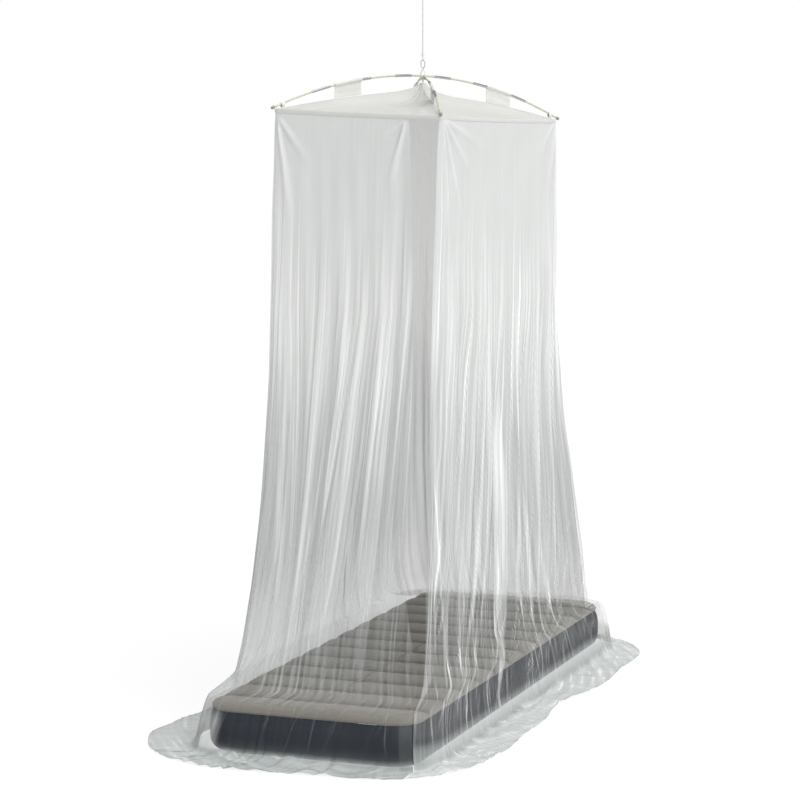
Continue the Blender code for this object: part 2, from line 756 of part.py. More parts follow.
# ------------------------------------------------------------------ mattress
def mattress_outline(inset, steps_long, steps_short, steps_corner):
    """A rounded rectangle, anticlockwise from the near end of its right side."""
    half_x, half_y = MATTRESS_HALF_WIDTH - inset, MATTRESS_HALF_LENGTH - inset
    radius = max(0.012, MATTRESS_CORNER - inset)
    centres = ((1, -1), (1, 1), (-1, 1), (-1, -1))
    outline = []
    for i, (sx, sy) in enumerate(centres):
        middle = Vector((sx * (half_x - radius), sy * (half_y - radius)))
        for k in range(steps_corner + 1):
            angle = math.radians(90 * (i - 1 + k / steps_corner))
            outline.append(middle + radius * Vector((math.cos(angle), math.sin(angle))))
        nx, ny = centres[(i + 1) % 4]
        onward = Vector((nx * (half_x - radius), ny * (half_y - radius)))
        edge = radius * Vector((math.cos(math.radians(90 * i)), math.sin(math.radians(90 * i))))
        steps = steps_long if i % 2 == 0 else steps_short
        for k in range(1, steps):
            outline.append(middle.lerp(onward, k / steps) + edge)
    return outline


def channel_dip(y):
    """0 on a channel's crown, 1 in the seam between two channels."""
    pitch = 2 * MATTRESS_HALF_LENGTH / CHANNELS
    phase = (y + MATTRESS_HALF_LENGTH) / pitch
    return 1 - abs(math.sin(math.pi * phase)) ** 0.6


def make_mattress():
    shift = Vector((MATTRESS_SHIFT, 0, 0))
    base = []
    for inset, height in BASE_SECTIONS:
        outline = mattress_outline(inset, steps_long=8, steps_short=3, steps_corner=4)
        base.append([p.to_3d() + shift + Vector((0, 0, height)) for p in outline])
    loft("mattress_base", base, "navy_side")
    top = []
    for inset, height, share in TOP_SECTIONS:
        outline = mattress_outline(inset, steps_long=4 * CHANNELS, steps_short=5, steps_corner=5)
        depth = CHANNEL_DEPTH * share
        top.append([p.to_3d() + shift + Vector((0, 0, height - depth * channel_dip(p.y))) for p in outline])
    loft("mattress_top", top, "flocked_top")


# ------------------------------------------------------------------ what it hangs from
def ring_path(half_width, bottom, top, steps=8):
    """An upright racetrack in the plane of X: two half circles and straight sides."""
    points = []
    for centre, begin in ((top - half_width, 0), (bottom + half_width, 180)):
        for k in range(steps + 1):
            angle = math.radians(begin + 180 * k / steps)
            points.append((half_width * math.cos(angle), 0, centre + half_width * math.sin(angle)))
    return points


def teardrop(bottom, top, wide, narrow, wide_is_low, steps=7):
    """A loop in the plane of Y, wide at one end and narrow at the other."""
    low, high = (wide, narrow) if wide_is_low else (narrow, wide)
    points = []
    for centre, radius, begin in ((top - high, high, 0), (bottom + low, low, 180)):
        for k in range(steps + 1):
            angle = math.radians(begin + 180 * k / steps)
            points.append((0, radius * math.cos(angle), centre + radius * math.sin(angle)))
    return points


def loop_path(bottom, top):
    """The hanging loop: broad across the poles' crossing, then a quarter turn to go through the ring."""
    arcs = teardrop(bottom, top, LOOP_WIDE, LOOP_NARROW, True)
    half = len(arcs) // 2
    sides = [(arcs[half - 1], arcs[half]), (arcs[-1], arcs[0])]
    runs = [[Vector(a).lerp(Vector(b), k / 5) for k in range(1, 5)] for a, b in sides]
    path = []
    for point in [*arcs[:half], *runs[0], *arcs[half:], *runs[1]]:
        turned = ease((point[2] - LOOP_TURN_START) / (LOOP_TURN_END - LOOP_TURN_START))
        angle = math.radians(90 * turned)
        path.append((point[1] * math.cos(angle), point[1] * math.sin(angle), point[2]))
    return path


def make_suspension():
    crossing_under = CROSSING_HEIGHT - 2 * POLE_RADIUS - GAP - POLE_RADIUS
    loop_bottom = crossing_under - GAP - LOOP_SLACK - LOOP_RADIUS
    loop_top = RING_BOTTOM + RING_WIRE + GAP + LOOP_RADIUS
    tube("hanging_loop", loop_path(loop_bottom, loop_top), LOOP_RADIUS, "tape", cyclic=True)
    tie_top = loop_bottom - LOOP_RADIUS - GAP
    tie_bottom = PEAK_HEIGHT + CLOTH / 2 + GAP
    tie = [[Vector((side * TIE_HALF_WIDTH, 0, z)) for side in (-1, 0, 1)] for z in (tie_bottom, tie_top)]
    grid_sheet("peak_tie", tie, "tape")
    tube("steel_ring", ring_path(RING_HALF_WIDTH, RING_BOTTOM, RING_TOP), RING_WIRE, "steel", cyclic=True)
    lower_eye = RING_TOP - RING_WIRE - GAP - EYE_RADIUS
    make_eye("cord_lower_eye", lower_eye, LOWER_KNOT, 1)
    cord_start, cord_end = LOWER_KNOT + KNOT_HALF + GAP, UPPER_KNOT - KNOT_HALF - GAP
    cord = [(0, 0, between(cord_start, cord_end, k / CORD_STEPS)) for k in range(CORD_STEPS + 1)]
    tube("hanging_cord", cord, CORD_RADIUS, "cord")
    upper_eye = HOOK_BOTTOM + HOOK_WIRE + GAP + EYE_RADIUS
    make_eye("cord_upper_eye", upper_eye, UPPER_KNOT, -1)
    make_hook()


def make_eye(name, far, knot, up):
    """A knot with the small loop that it closes: the loop's far end is at height far."""
    bottom, top = sorted((far, knot))
    eye_path = teardrop(bottom, top, EYE_WIDE, EYE_NARROW, wide_is_low=up > 0)
    eye = tube(name + "_loop", eye_path, EYE_RADIUS, "cord", cyclic=True)
    bpy.ops.mesh.primitive_uv_sphere_add(segments=10, ring_count=6, radius=1, location=(0, 0, knot))
    ball = bpy.context.object
    ball.scale = (KNOT_RADIUS, KNOT_RADIUS, KNOT_HALF)
    ball.name = name
    ball.data.materials.append(material("cord"))
    for collection in list(ball.users_collection):
        collection.objects.unlink(ball)
    CANOPY.objects.link(ball)
    bpy.context.view_layer.update()
    joined(ball, [eye])


def make_hook():
    top = CEILING_HEIGHT
    middle = (0, 0, top - PLATE_THICKNESS / 2)
    size = {"radius": PLATE_RADIUS, "depth": PLATE_THICKNESS}
    bpy.ops.mesh.primitive_cylinder_add(vertices=24, location=middle, **size)
    plate = bpy.context.object
    plate.name = "ceiling_hook"
    plate.data.materials.append(material("steel"))
    for collection in list(plate.users_collection):
        collection.objects.unlink(plate)
    CANOPY.objects.link(plate)
    centre = HOOK_BOTTOM + HOOK_BEND
    shank_foot = centre + HOOK_BEND + HOOK_SHANK
    path = [middle, (0, 0, shank_foot), (-0.0012, 0, shank_foot - 0.004)]
    steps = 11
    for k in range(steps + 1):
        angle = math.radians(HOOK_START + HOOK_SWEEP * k / steps)
        path.append((HOOK_BEND * math.cos(angle), 0, centre + HOOK_BEND * math.sin(angle)))
    wire = tube("hook_wire", path, HOOK_WIRE, "steel")
    bpy.context.view_layer.update()
    joined(plate, [wire])


def lower_to_floor():
    """Puts the origin on the ceiling: every finished piece goes down by CEILING_HEIGHT."""
    for obj in bpy.data.objects:
        obj.location.z -= CEILING_HEIGHT


clear_scene()
CANOPY = bpy.data.collections.new("mosquito_net_canopy")
HELPERS = bpy.data.collections.new("helpers")
bpy.context.scene.collection.children.link(CANOPY)
bpy.context.scene.collection.children.link(HELPERS)
make_walls()
make_binding()
make_roof()
make_tabs()
make_corner_loops()
make_poles()
make_mattress()
make_suspension()
lower_to_floor()
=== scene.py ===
"""The looks of a box-shaped mosquito net canopy, hung by a cord over an air mattress.

Metres, +Z up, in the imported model's frame: the origin is the centre of the ceiling
hook's mounting face. The tables of the wall, the folds and the roof give heights above
the floor, as the part's source does, and FLOOR lowers the finished pieces.
"""

import math

import bmesh
import bpy
import numpy as np
from mathutils import Matrix, Vector


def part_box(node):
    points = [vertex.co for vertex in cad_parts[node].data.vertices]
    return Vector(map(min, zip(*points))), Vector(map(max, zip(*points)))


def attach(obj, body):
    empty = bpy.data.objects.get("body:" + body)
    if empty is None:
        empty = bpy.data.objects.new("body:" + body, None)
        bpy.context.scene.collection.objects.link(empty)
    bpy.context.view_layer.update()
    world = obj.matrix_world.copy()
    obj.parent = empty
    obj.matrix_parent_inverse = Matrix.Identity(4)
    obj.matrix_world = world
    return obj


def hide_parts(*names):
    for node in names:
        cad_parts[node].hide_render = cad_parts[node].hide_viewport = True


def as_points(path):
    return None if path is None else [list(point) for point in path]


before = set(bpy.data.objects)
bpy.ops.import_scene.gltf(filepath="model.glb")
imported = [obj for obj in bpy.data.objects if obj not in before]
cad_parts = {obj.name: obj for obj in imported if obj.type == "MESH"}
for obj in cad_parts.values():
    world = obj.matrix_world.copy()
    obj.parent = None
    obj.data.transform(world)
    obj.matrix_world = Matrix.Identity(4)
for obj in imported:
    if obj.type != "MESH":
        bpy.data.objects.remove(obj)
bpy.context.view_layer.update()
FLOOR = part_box("mattress_base")[0].z

# ------------------------------------------------------------------ the canopy's lines
GAP = 0.0003
CLOTH = 0.0012
UP = np.array([0.0, 0.0, 1.0])
FRAME_HALF_WIDTH, FRAME_HALF_LENGTH = 0.256, 0.560
FRAME_REACH = math.hypot(FRAME_HALF_WIDTH, FRAME_HALF_LENGTH)
CORNER_HEIGHTS = {"near_left": 1.822, "near_right": 1.803, "far_right": 1.784, "far_left": 1.800}
EAVE_SAG = 0.003
PEAK_HEIGHT = 1.9005
SEAM_GAP = 0.0008
WALL_TOP_DROP = 0.0012
BINDING_HEIGHT = 0.011

POLE_CORNERS = {"right": ("near_left", "far_right"), "left": ("far_left", "near_right")}
POLE_RADIUS = 0.003
FERRULE_RADIUS = 0.004
FERRULE_LENGTH = 0.070
FERRULE_PLACES = (-0.430, -0.258, -0.086, 0.086, 0.258, 0.430)
POLE_LIFT = 0.0012
CROSSING_HEIGHT = 1.920
POLE_END_INSET = 0.001
CAP_RADIUS = 0.0048
CAP_LENGTH = 0.012
ROD_NOSE, CAP_NOSES = 0.0006, (0.0042, 0.0008)
CRIMP_PLACE, CRIMP_WIDTH = 0.022, 0.0028
TAB_PLACES = (-0.318, 0.338)
TAB_WIDTH = 0.110
TAB_SLEEVE_RADIUS = FERRULE_RADIUS + GAP + CLOTH / 2 + 0.0004
TAB_NECK = 1.25 * TAB_SLEEVE_RADIUS
TAB_WRAP = 290
TAB_LEG_GAP = 0.0010
TAB_CLEAR = 0.0004
CORNER_LOOP_PLACE = 0.582
CORNER_LOOP_WIDTH = 0.012

CORD_RADIUS = 0.0025
RING_WIRE = 0.0012
RING_HALF_WIDTH = 0.0062
RING_BOTTOM = 1.9445
RING_TOP = 1.9680
LOOP_RADIUS = 0.0018
LOOP_WIDE, LOOP_NARROW = 0.0078, 0.0036
LOOP_SLACK = 0.0004
LOOP_TURN_START, LOOP_TURN_END = 1.925, 1.941
TIE_HALF_WIDTH = 0.003
EYE_RADIUS = 0.0018
EYE_WIDE, EYE_NARROW = 0.0040, 0.0022
KNOT_RADIUS, KNOT_HALF = 0.0045, 0.0050
KNOT_TURNS, KNOT_STRAND = 2.6, 0.0016
HOOK_WIRE, HOOK_BEND = 0.0020, 0.0085
HOOK_BOTTOM = 2.186
HOOK_SHANK = 0.008
HOOK_START, HOOK_SWEEP = 125, 245
HOOK_TIP = (0.97, 0.86, 0.66, 0.30)
PLATE_RADIUS, PLATE_THICKNESS = 0.018, 0.004
LOWER_KNOT, UPPER_KNOT = 1.9830, 2.1665
MATTRESS_TOP = 0.150
ON_MATTRESS = MATTRESS_TOP + GAP + CLOTH / 2
ON_FLOOR = CLOTH / 2

# The net's wall as level loops, from the eave to the hem: the height of a loop's two
# ends and of its two sides, the radius of its corners, where the entry's edges cross it,
# the share of the folds' depth that it has, how close the net looks there on the two
# panels towards the camera and on the two behind them, and how pale. The pale tone is
# painted shade, which makes the net darker towards the floor.
WALL_LOOPS = (
    # name, end_z, side_z, radius, entry_left, entry_right, fold, close_near, close_far, pale
    ("eave", 1.800, 1.800, 0.012, 0.160, 0.251, 0.00, 0.74, 0.74, 0.70),
    ("under_binding", 1.787, 1.787, 0.012, 0.160, 0.251, 0.00, 0.72, 0.72, 0.70),
    ("below_eave", 1.745, 1.745, 0.014, 0.163, 0.248, 0.05, 0.70, 0.71, 0.69),
    ("shoulder", 1.600, 1.600, 0.018, 0.167, 0.242, 0.20, 0.69, 0.70, 0.685),
    ("upper", 1.350, 1.350, 0.025, 0.173, 0.234, 0.45, 0.67, 0.70, 0.68),
    ("middle", 1.100, 1.100, 0.035, 0.178, 0.228, 0.80, 0.60, 0.70, 0.64),
    ("waist", 0.850, 0.850, 0.045, 0.174, 0.225, 1.00, 0.52, 0.66, 0.55),
    ("lower", 0.650, 0.650, 0.055, 0.168, 0.225, 1.00, 0.42, 0.62, 0.47),
    ("low", 0.480, 0.480, 0.065, 0.176, 0.231, 0.90, 0.31, 0.58, 0.42),
    ("knee", 0.340, 0.345, 0.075, 0.202, 0.242, 0.75, 0.20, 0.54, 0.40),
    ("sweep", 0.225, 0.240, 0.100, 0.237, 0.254, 0.55, 0.12, 0.50, 0.40),
    ("landing", ON_MATTRESS, 0.176, 0.130, 0.258, 0.268, 0.32, 0.085, 0.46, 0.44),
    ("lip", ON_MATTRESS, 0.148, 0.125, 0.2965, 0.3005, 0.30, 0.060, 0.38, 0.48),
    ("drop", 0.090, 0.085, 0.125, 0.3095, 0.3115, 0.45, 0.050, 0.36, 0.48),
    ("foot", 0.016, 0.016, 0.155, 0.3157, 0.3173, 0.35, 0.56, 0.56, 0.38),
    ("floor", ON_FLOOR, ON_FLOOR, 0.230, 0.3197, 0.3213, 0.40, 0.66, 0.66, 0.36),
    ("hem", ON_FLOOR, ON_FLOOR, 0.330, 0.3157, 0.3173, 0.25, 0.66, 0.66, 0.38),
)
# The corners of the same loops, before they are rounded.
WALL_CORNERS = (
    # name, near_left x and y, near_right x and y, far_right x and y, far_left x and y
    ("eave", -0.256, -0.560, 0.256, -0.560, 0.256, 0.560, -0.256, 0.560),
    ("under_binding", -0.256, -0.560, 0.256, -0.560, 0.256, 0.560, -0.256, 0.560),
    ("below_eave", -0.259, -0.561, 0.254, -0.561, 0.257, 0.561, -0.257, 0.561),
    ("shoulder", -0.262, -0.563, 0.250, -0.562, 0.260, 0.563, -0.259, 0.563),
    ("upper", -0.269, -0.567, 0.244, -0.565, 0.264, 0.567, -0.264, 0.567),
    ("middle", -0.278, -0.574, 0.239, -0.571, 0.269, 0.575, -0.274, 0.575),
    ("waist", -0.292, -0.586, 0.237, -0.581, 0.287, 0.589, -0.290, 0.590),
    ("lower", -0.306, -0.602, 0.240, -0.597, 0.318, 0.607, -0.307, 0.608),
    ("low", -0.319, -0.626, 0.248, -0.627, 0.339, 0.632, -0.324, 0.633),
    ("knee", -0.332, -0.662, 0.261, -0.668, 0.353, 0.664, -0.339, 0.665),
    ("sweep", -0.340, -0.722, 0.278, -0.716, 0.356, 0.720, -0.350, 0.720),
    ("landing", -0.346, -0.805, 0.319, -0.800, 0.352, 0.802, -0.356, 0.800),
    ("lip", -0.352, -0.926, 0.344, -0.926, 0.350, 0.922, -0.360, 0.926),
    ("drop", -0.362, -0.967, 0.356, -0.970, 0.358, 0.966, -0.370, 0.968),
    ("foot", -0.386, -0.985, 0.370, -0.988, 0.376, 0.980, -0.390, 0.985),
    ("floor", -0.436, -1.022, 0.394, -1.020, 0.412, 0.998, -0.430, 1.000),
    ("hem", -0.556, -1.082, 0.458, -1.082, 0.504, 1.050, -0.540, 1.050),
)
LOOP_COLUMNS = (
    "end_z side_z radius entry_left entry_right fold close_near close_far pale "
    "nl_x nl_y nr_x nr_y fr_x fr_y fl_x fl_y"
).split()

# The main folds of each wall panel, as in the part's source.
FOLDS = {
    # place_high, place_low, start, width, depth
    "front": (
        (0.035, 0.035, 1.80, 0.030, 0.012),
        (0.090, 0.150, 1.65, 0.034, 0.012),
        (0.180, 0.215, 1.55, 0.036, -0.010),
        (0.300, 0.270, 1.45, 0.050, 0.014),
        (0.380, 0.320, 1.35, 0.040, -0.012),
        (0.460, 0.375, 1.35, 0.040, 0.014),
        (0.530, 0.430, 1.35, 0.036, 0.012),
        (0.600, 0.500, 1.40, 0.044, -0.012),
        (0.690, 0.610, 1.50, 0.044, 0.014),
        (0.745, 0.675, 1.78, 0.036, -0.014),
    ),
    "right": (
        (0.050, 0.040, 1.80, 0.044, -0.014),
        (0.120, 0.060, 1.65, 0.052, 0.016),
        (0.200, 0.110, 1.35, 0.050, -0.012),
        (0.285, 0.180, 1.40, 0.052, 0.016),
        (0.380, 0.290, 1.40, 0.070, 0.020),
        (0.480, 0.390, 1.30, 0.070, -0.014),
        (0.600, 0.520, 1.35, 0.056, 0.018),
        (0.680, 0.570, 1.30, 0.060, -0.014),
        (0.760, 0.640, 1.40, 0.050, 0.016),
        (0.865, 0.760, 1.70, 0.048, 0.015),
        (0.955, 0.885, 1.80, 0.040, -0.014),
    ),
    "back": (
        (0.060, 0.080, 1.75, 0.044, -0.013),
        (0.170, 0.200, 1.55, 0.048, 0.015),
        (0.330, 0.340, 1.35, 0.056, 0.015),
        (0.500, 0.480, 1.30, 0.060, -0.012),
        (0.640, 0.620, 1.40, 0.052, 0.016),
        (0.800, 0.760, 1.50, 0.046, 0.014),
        (0.940, 0.930, 1.75, 0.044, -0.013),
    ),
    "left": (
        (0.040, 0.060, 1.78, 0.044, -0.013),
        (0.130, 0.160, 1.60, 0.052, 0.016),
        (0.240, 0.270, 1.40, 0.060, 0.014),
        (0.350, 0.370, 1.30, 0.062, -0.013),
        (0.460, 0.470, 1.35, 0.058, 0.017),
        (0.580, 0.590, 1.30, 0.064, 0.015),
        (0.690, 0.700, 1.30, 0.060, -0.013),
        (0.800, 0.790, 1.45, 0.054, 0.016),
        (0.930, 0.910, 1.75, 0.044, 0.014),
    ),
}
PLACE_HIGH_AT, PLACE_LOW_AT = 1.0, 0.4
DRIFT_FROM, DRIFT_TO = -0.4, 1.15
FOLD_RISE = 0.60
FINE_RISE = 0.45 * FOLD_RISE

# Where the hem on the floor swings out or in from its plain loop.
HEM_WAVES = {
    # place, width, depth
    "front": ((0.33, 0.20, 0.014), (0.72, 0.14, -0.012)),
    "right": ((0.22, 0.22, 0.012), (0.50, 0.26, -0.030), (0.68, 0.24, 0.014)),
    "back": ((0.30, 0.22, 0.018), (0.66, 0.20, -0.015)),
    "left": ((0.20, 0.24, -0.014), (0.45, 0.30, 0.018), (0.70, 0.20, -0.022), (0.86, 0.16, 0.012)),
}
HEM_SHARE = {"floor": 0.4, "hem": 1.0}

# The roof from its edge to its peak: fraction of the way from the peak to the edge, and
# how much of the peak's rise it has there, along the hips and between them.
ROOF_RINGS = (
    # fraction, rise_on_hip, rise_between
    (1.00, 0.00, 0.00),
    (0.92, 0.08, 0.03),
    (0.65, 0.33, 0.13),
    (0.42, 0.50, 0.26),
    (0.20, 0.64, 0.46),
    (0.08, 0.78, 0.70),
    (0.02, 0.96, 0.94),
)
ROOF_ROWS = (6, 14, 14, 14, 8, 5)
ROOF_STEPS = 60
HIP_SHARPNESS = 2.2

# Soft pulls that run down and across from the corners and the entry's top.
PULLS = {
    # from_place, from_height, to_place, to_height, width, depth
    "right": (
        (0.012, 1.795, 0.300, 1.600, 0.016, 0.0075),
        (0.010, 1.795, 0.215, 1.450, 0.020, 0.0085),
        (0.008, 1.795, 0.130, 1.270, 0.018, 0.0075),
        (0.010, 1.795, 0.420, 1.690, 0.014, 0.0045),
        (0.990, 1.780, 0.900, 1.480, 0.018, 0.0050),
        (0.990, 1.780, 0.800, 1.650, 0.018, 0.0035),
    ),
    "front": (
        (0.020, 1.800, 0.130, 1.430, 0.014, 0.0070),
        (0.020, 1.800, 0.260, 1.640, 0.014, 0.0045),
        (0.800, 1.790, 0.690, 1.560, 0.012, 0.0075),
        (0.800, 1.790, 0.560, 1.700, 0.012, 0.0045),
    ),
    "left": (
        (0.010, 1.790, 0.150, 1.480, 0.020, 0.0050),
        (0.990, 1.795, 0.860, 1.500, 0.020, 0.0050),
    ),
    "back": (
        (0.020, 1.785, 0.240, 1.520, 0.016, 0.0045),
        (0.980, 1.790, 0.780, 1.540, 0.016, 0.0045),
    ),
}

BINDING_STEPS, BINDING_ROWS = 260, 10
STITCH_PLACE = 0.8

# Each wall panel: its grid's columns, how many fine folds lie between its main ones, its
# seed, and its cut's width at the hem and flat area.
PANELS = {
    "front": (400, 78, 11, 0.87, 1.2),
    "right": (600, 120, 23, 2.25, 3.0),
    "back": (320, 50, 37, 1.05, 1.5),
    "left": (560, 100, 41, 2.15, 3.0),
}
# How much of its folds' lines and of its streaks each panel loses over the mattress's edge,
# the row from which it is painted darker towards the foot as a painted shadow, and how much
# closer it looks there, which deepens that painted shadow.
PANEL_LOOKS = {
    "front": (0.96, 0.96, 13.70, 0.10),
    "right": (0.60, 0.35, 13.15, 0.26),
    "back": (0.96, 0.96, 13.15, 0.26),
    "left": (0.60, 0.35, 13.15, 0.26),
}
WALL_ROWS = (2, 7, 14, 12, 9, 8, 8, 8, 8, 8, 9, 11, 9, 9, 10, 16)
ARC_STEPS = 24
LOOP_STEP = 0.0005
END_TURN_START, END_TURN = 0.16, 0.12
TILTED_HEIGHTS = (1.2, 1.8)

FINE_WIDTH = (0.006, 0.024)
FINE_DEPTH = (0.0010, 0.0048)
FINE_START = (1.20, 1.66)
FINE_END = (0.45, 0.95)
FINE_END_SHARE = 0.35
FINE_SHIFT, FINE_STRAY = 0.6, 0.020
EDGE_START = 1.80
EDGE_PLACE = 0.05
LINE_WIDTH = (0.0022, 0.0050)
SHARP_LINE, PULL_LINE, CREASE_LINE, STRAND_LINE = 0.0035, 0.011, 0.0032, 0.0028
FULL_DEPTH = 0.015
HOLLOW_DEPTH = 0.0018
# How bright the painted highlight along each pull is, for its depth.
PULL_SHINE = 55
FLOOR_ROLLS = ((0.17, 5, 0.007), (0.07, 6, 0.0016))  # scale, seed, height

# How far the net stands clear of the navy side on the two near panels: until which row,
# how much of its closeness goes, and how much closer it looks where it lies on the floor.
CLEARED = {"front": (13.9, 0.8, 0.16), "right": (13.3, 0.5, 0.05)}

# Where the looks change, each from none to full. Rows count the tables' loops from 0, so 11
# is the landing, 12 the lip, 13 the drop, 14 the foot, 15 the floor and 16 the hem.
SKIRT_ROWS = (11.2, 12.7), (15.0, 14.2)
SIDE_ROWS = (10.0, 11.5), (15.0, 14.2)
FAR_EDGE_ROWS = (10.6, 11.4), (14.2, 13.6)
FAR_PALE_ROWS, FAR_PALE_HEIGHTS, FAR_END = (8.2, 9.1), (0.7, 1.3), (0.1, 0.8)
FLOOR_ROWS, LYING_ROWS, HEM_ROWS = (13.6, 14.2), (13.7, 14.2), (15.4, 16.0)
CLEAR_ROWS, TURNED_ROWS, THIN_ROWS = (12.9, 13.1), (12.3, 12.9), (13.8, 13.3)
INNER_ROWS, CREASE_ROWS, FOOT_END_ROWS = (12.6, 12.0), (14.2, 13.2), (14.7, 13.9)
LINE_HEIGHTS, LOW_LINE_HEIGHTS, STREAK_HEIGHTS = (1.2, 0.5), (0.55, 0.25), (1.48, 1.12)
SLIT_HEIGHTS, INNER_HEIGHTS, CREASE_HEIGHTS = (0.75, 0.30), (0.5, 0.2), (0.62, 0.37)
BUNDLE_HEIGHTS, BUNDLE_FOOT_HEIGHTS = (0.95, 0.60), (0.09, 0.19)
OPEN_BAND_HEIGHTS, BAND_FOOT_HEIGHTS = ((0.06, 0.34), (1.25, 0.55)), (0.02, 0.07)
SPREAD_HEIGHTS, HOLLOW_HEIGHTS = (1.2, 0.2), (1.78, 1.58)
TURNED_PART, INNER_PART = (0.075, 0.040), (0.16, 0.01)

# How much closer or paler the net looks, or how close or pale it becomes, at most. The paler
# terms of lines, bundles, bands, creases and wrinkles are painted highlights; the darker
# terms of lying, the foot and the far floor are painted shade.
LINE_CLOSER, LINE_HIGHLIGHT = (0.14, 0.30), 0.20
TURNED_CLOSE, SIDE_CLOSER = 0.50, 0.05
LYING_DARKER, FOOT_DARKER, FAR_FLOOR_DARKER = 0.30, 0.32, 0.15
SLIT_LOOK, INNER_LOSS = (0.07, -0.05), 0.75
BUNDLE_LOOK, BAND_LOOK, CREASE_LOOK = (0.24, 0.22), (0.38, 0.20), (0.30, 0.42)
FLOOR_FOLD_LOOK, WRINKLE_LOOK = (0.08, 0.10), (0.12, 0.20)
HEM_CLOSER, FAR_FLOOR_CLOSER = 0.14, 0.08
# Painted light and shade on the two far panels: their tone scaled from low to high, set where they
# lie over the far edge, and lifted lower down.
FAR_PALE = (0.88, 1.28)
FAR_EDGE_PALE, FAR_EDGE_CLOSE = (0.46, 0.80), 0.56
FAR_PALER, FAR_END_CLOSE = {"back": 0.38, "left": 0.25}, {"back": 0.26, "left": 0.52}
CLOSE_LIMITS, PALE_LIMITS = (0.02, 0.97), (0.0, 0.95)

SLIT_BAND = (0.040, 0.034)
BUNDLE_SHARES = (0.20, 0.48, 0.75, 1.05, 1.40, 1.80)
BUNDLE = ((0.15, 0.004), (0.22, 0.016), (0.35, 0.040), (0.55, 0.062), (0.80, 0.070))
# Bands where the right wall's folds lie close together over the mattress: how strong,
# half their width where they are widest, and their way down as heights and places.
BAND_HEIGHTS = (0.48, 0.34, 0.22, 0.15, 0.05)
WIDE_BAND_HEIGHTS = (1.10, 0.65, 0.40, 0.24, 0.148, 0.085)
BANDS = (
    (0.80, 0.046, WIDE_BAND_HEIGHTS, (0.480, 0.455, 0.425, 0.390, 0.350, 0.330)),
    (0.75, 0.012, (0.80, *BAND_HEIGHTS), (0.300, 0.258, 0.222, 0.190, 0.170, 0.165)),
    (0.60, 0.009, (0.75, *BAND_HEIGHTS), (0.160, 0.135, 0.104, 0.085, 0.075, 0.070)),
    (0.70, 0.011, (0.85, *BAND_HEIGHTS), (0.640, 0.612, 0.600, 0.585, 0.570, 0.560)),
    (0.55, 0.009, (0.85, *BAND_HEIGHTS), (0.560, 0.520, 0.500, 0.515, 0.535, 0.540)),
    (0.65, 0.012, (0.85, *BAND_HEIGHTS), (0.715, 0.700, 0.698, 0.705, 0.720, 0.730)),
)
FLOOR_HEM = 0.009
CREASES = {"front": (46, 0.35), "right": (130, 1.0)}  # how many, and how strong

MESH_PITCH, THREAD_PITCH, STITCH_PITCH = 0.0022, 0.0009, 0.0034

MATTRESS_SHIFT = -0.006
MATTRESS_HALF_WIDTH, MATTRESS_HALF_LENGTH = 0.330, 0.950
MATTRESS_CORNER = 0.100
MATTRESS_SEAM = 0.122
CHANNELS, CHANNEL_DEPTH = 13, 0.011
BASE_SECTIONS = (
    # inset, height
    (0.300, 0.0005),
    (0.040, 0.0005),
    (0.016, 0.010),
    (0.003, 0.032),
    (0.000, 0.062),
    (0.003, 0.095),
    (0.012, MATTRESS_SEAM),
)
TOP_SECTIONS = (
    # inset, height, share of the channel depth
    (0.0125, MATTRESS_SEAM + GAP, 0.0),
    (0.0080, 0.130, 0.3),
    (0.0170, 0.141, 0.6),
    (0.0380, 0.148, 0.9),
    (0.0600, MATTRESS_TOP, 1.0),
    (0.2600, MATTRESS_TOP, 1.0),
    (0.3280, MATTRESS_TOP, 1.0),
)
TOP_STEPS = (3, 4, 5, 5, 24, 9)
BASE_STEPS = (1, 4, 6, 7, 7, 6)

CAMERA_PLACE = (2.7668, -7.6611, -0.3716)
CAMERA_TILT, CAMERA_TURN = 83.481, 20.35
CAMERA_LENS = 119.0
FLOOR_REACH = 14.0
WHITE = (1.0, 1.0, 1.0)
ROOM_LIGHT = 0.34
SUNS = (
    # name, towards it, share of white on a surface that faces it, spread in degrees
    ("key", (0.75, -0.45, 0.50), 0.46, 60.0),
    ("top", (0.22, -0.05, 1.00), 0.70, 70.0),
)

MATERIALS = {}


# ------------------------------------------------------------------ small tools
def bell(x):
    """1 at the middle, 0 from -1 and 1 outwards, with level ends."""
    return np.where(np.abs(x) < 1, 0.5 + 0.5 * np.cos(np.pi * np.clip(x, -1, 1)), 0.0)


def ease(x):
    """From 0 to 1 as x does, with level ends."""
    x = np.clip(x, 0.0, 1.0)
    return x * x * (3 - 2 * x)


def rise(value, start, end):
    """From 0 at start to 1 at end, with level ends. Either may be the larger one."""
    return ease((value - start) / (end - start))


def within(value, into, out):
    """1 inside two ranges, into one and out of the other, with level ends."""
    return rise(value, *into) * rise(value, *out)


def between(a, b, t):
    return a + (b - a) * t


def through(values, t):
    """A smooth curve through evenly placed values, t running from 0 to their last index."""
    last = len(values) - 1
    i = min(last - 1, max(0, int(t)))
    t -= i
    a, b = values[i], values[i + 1]
    before = values[i - 1] if i else 2 * a - b
    after = values[i + 2] if i + 2 <= last else 2 * b - a
    start, end = slope(before, a, b), slope(a, b, after)
    return (
        (2 * t**3 - 3 * t**2 + 1) * a
        + (t**3 - 2 * t**2 + t) * start
        + (3 * t**2 - 2 * t**3) * b
        + (t**3 - t**2) * end
    )


def slope(before, here, after):
    """The slope at a value that never overshoots its neighbours."""
    left, right = here - before, after - here
    return 0.0 if left * right <= 0 else 2 * left * right / (left + right)


def ripple(x, y, scale, seed):
    """Smooth uneven waves over the plane, from about -1 to 1."""
    rng = np.random.default_rng(seed)
    total, waves = 0.0, 7
    for _ in range(waves):
        angle = rng.uniform(0, math.pi)
        pitch = rng.uniform(0.6, 1.8) * scale
        phase = rng.uniform(0, 2 * math.pi)
        way = x * math.cos(angle) + y * math.sin(angle)
        total = total + np.sin(way * 2 * math.pi / pitch + phase)
    return total / math.sqrt(2 * waves)


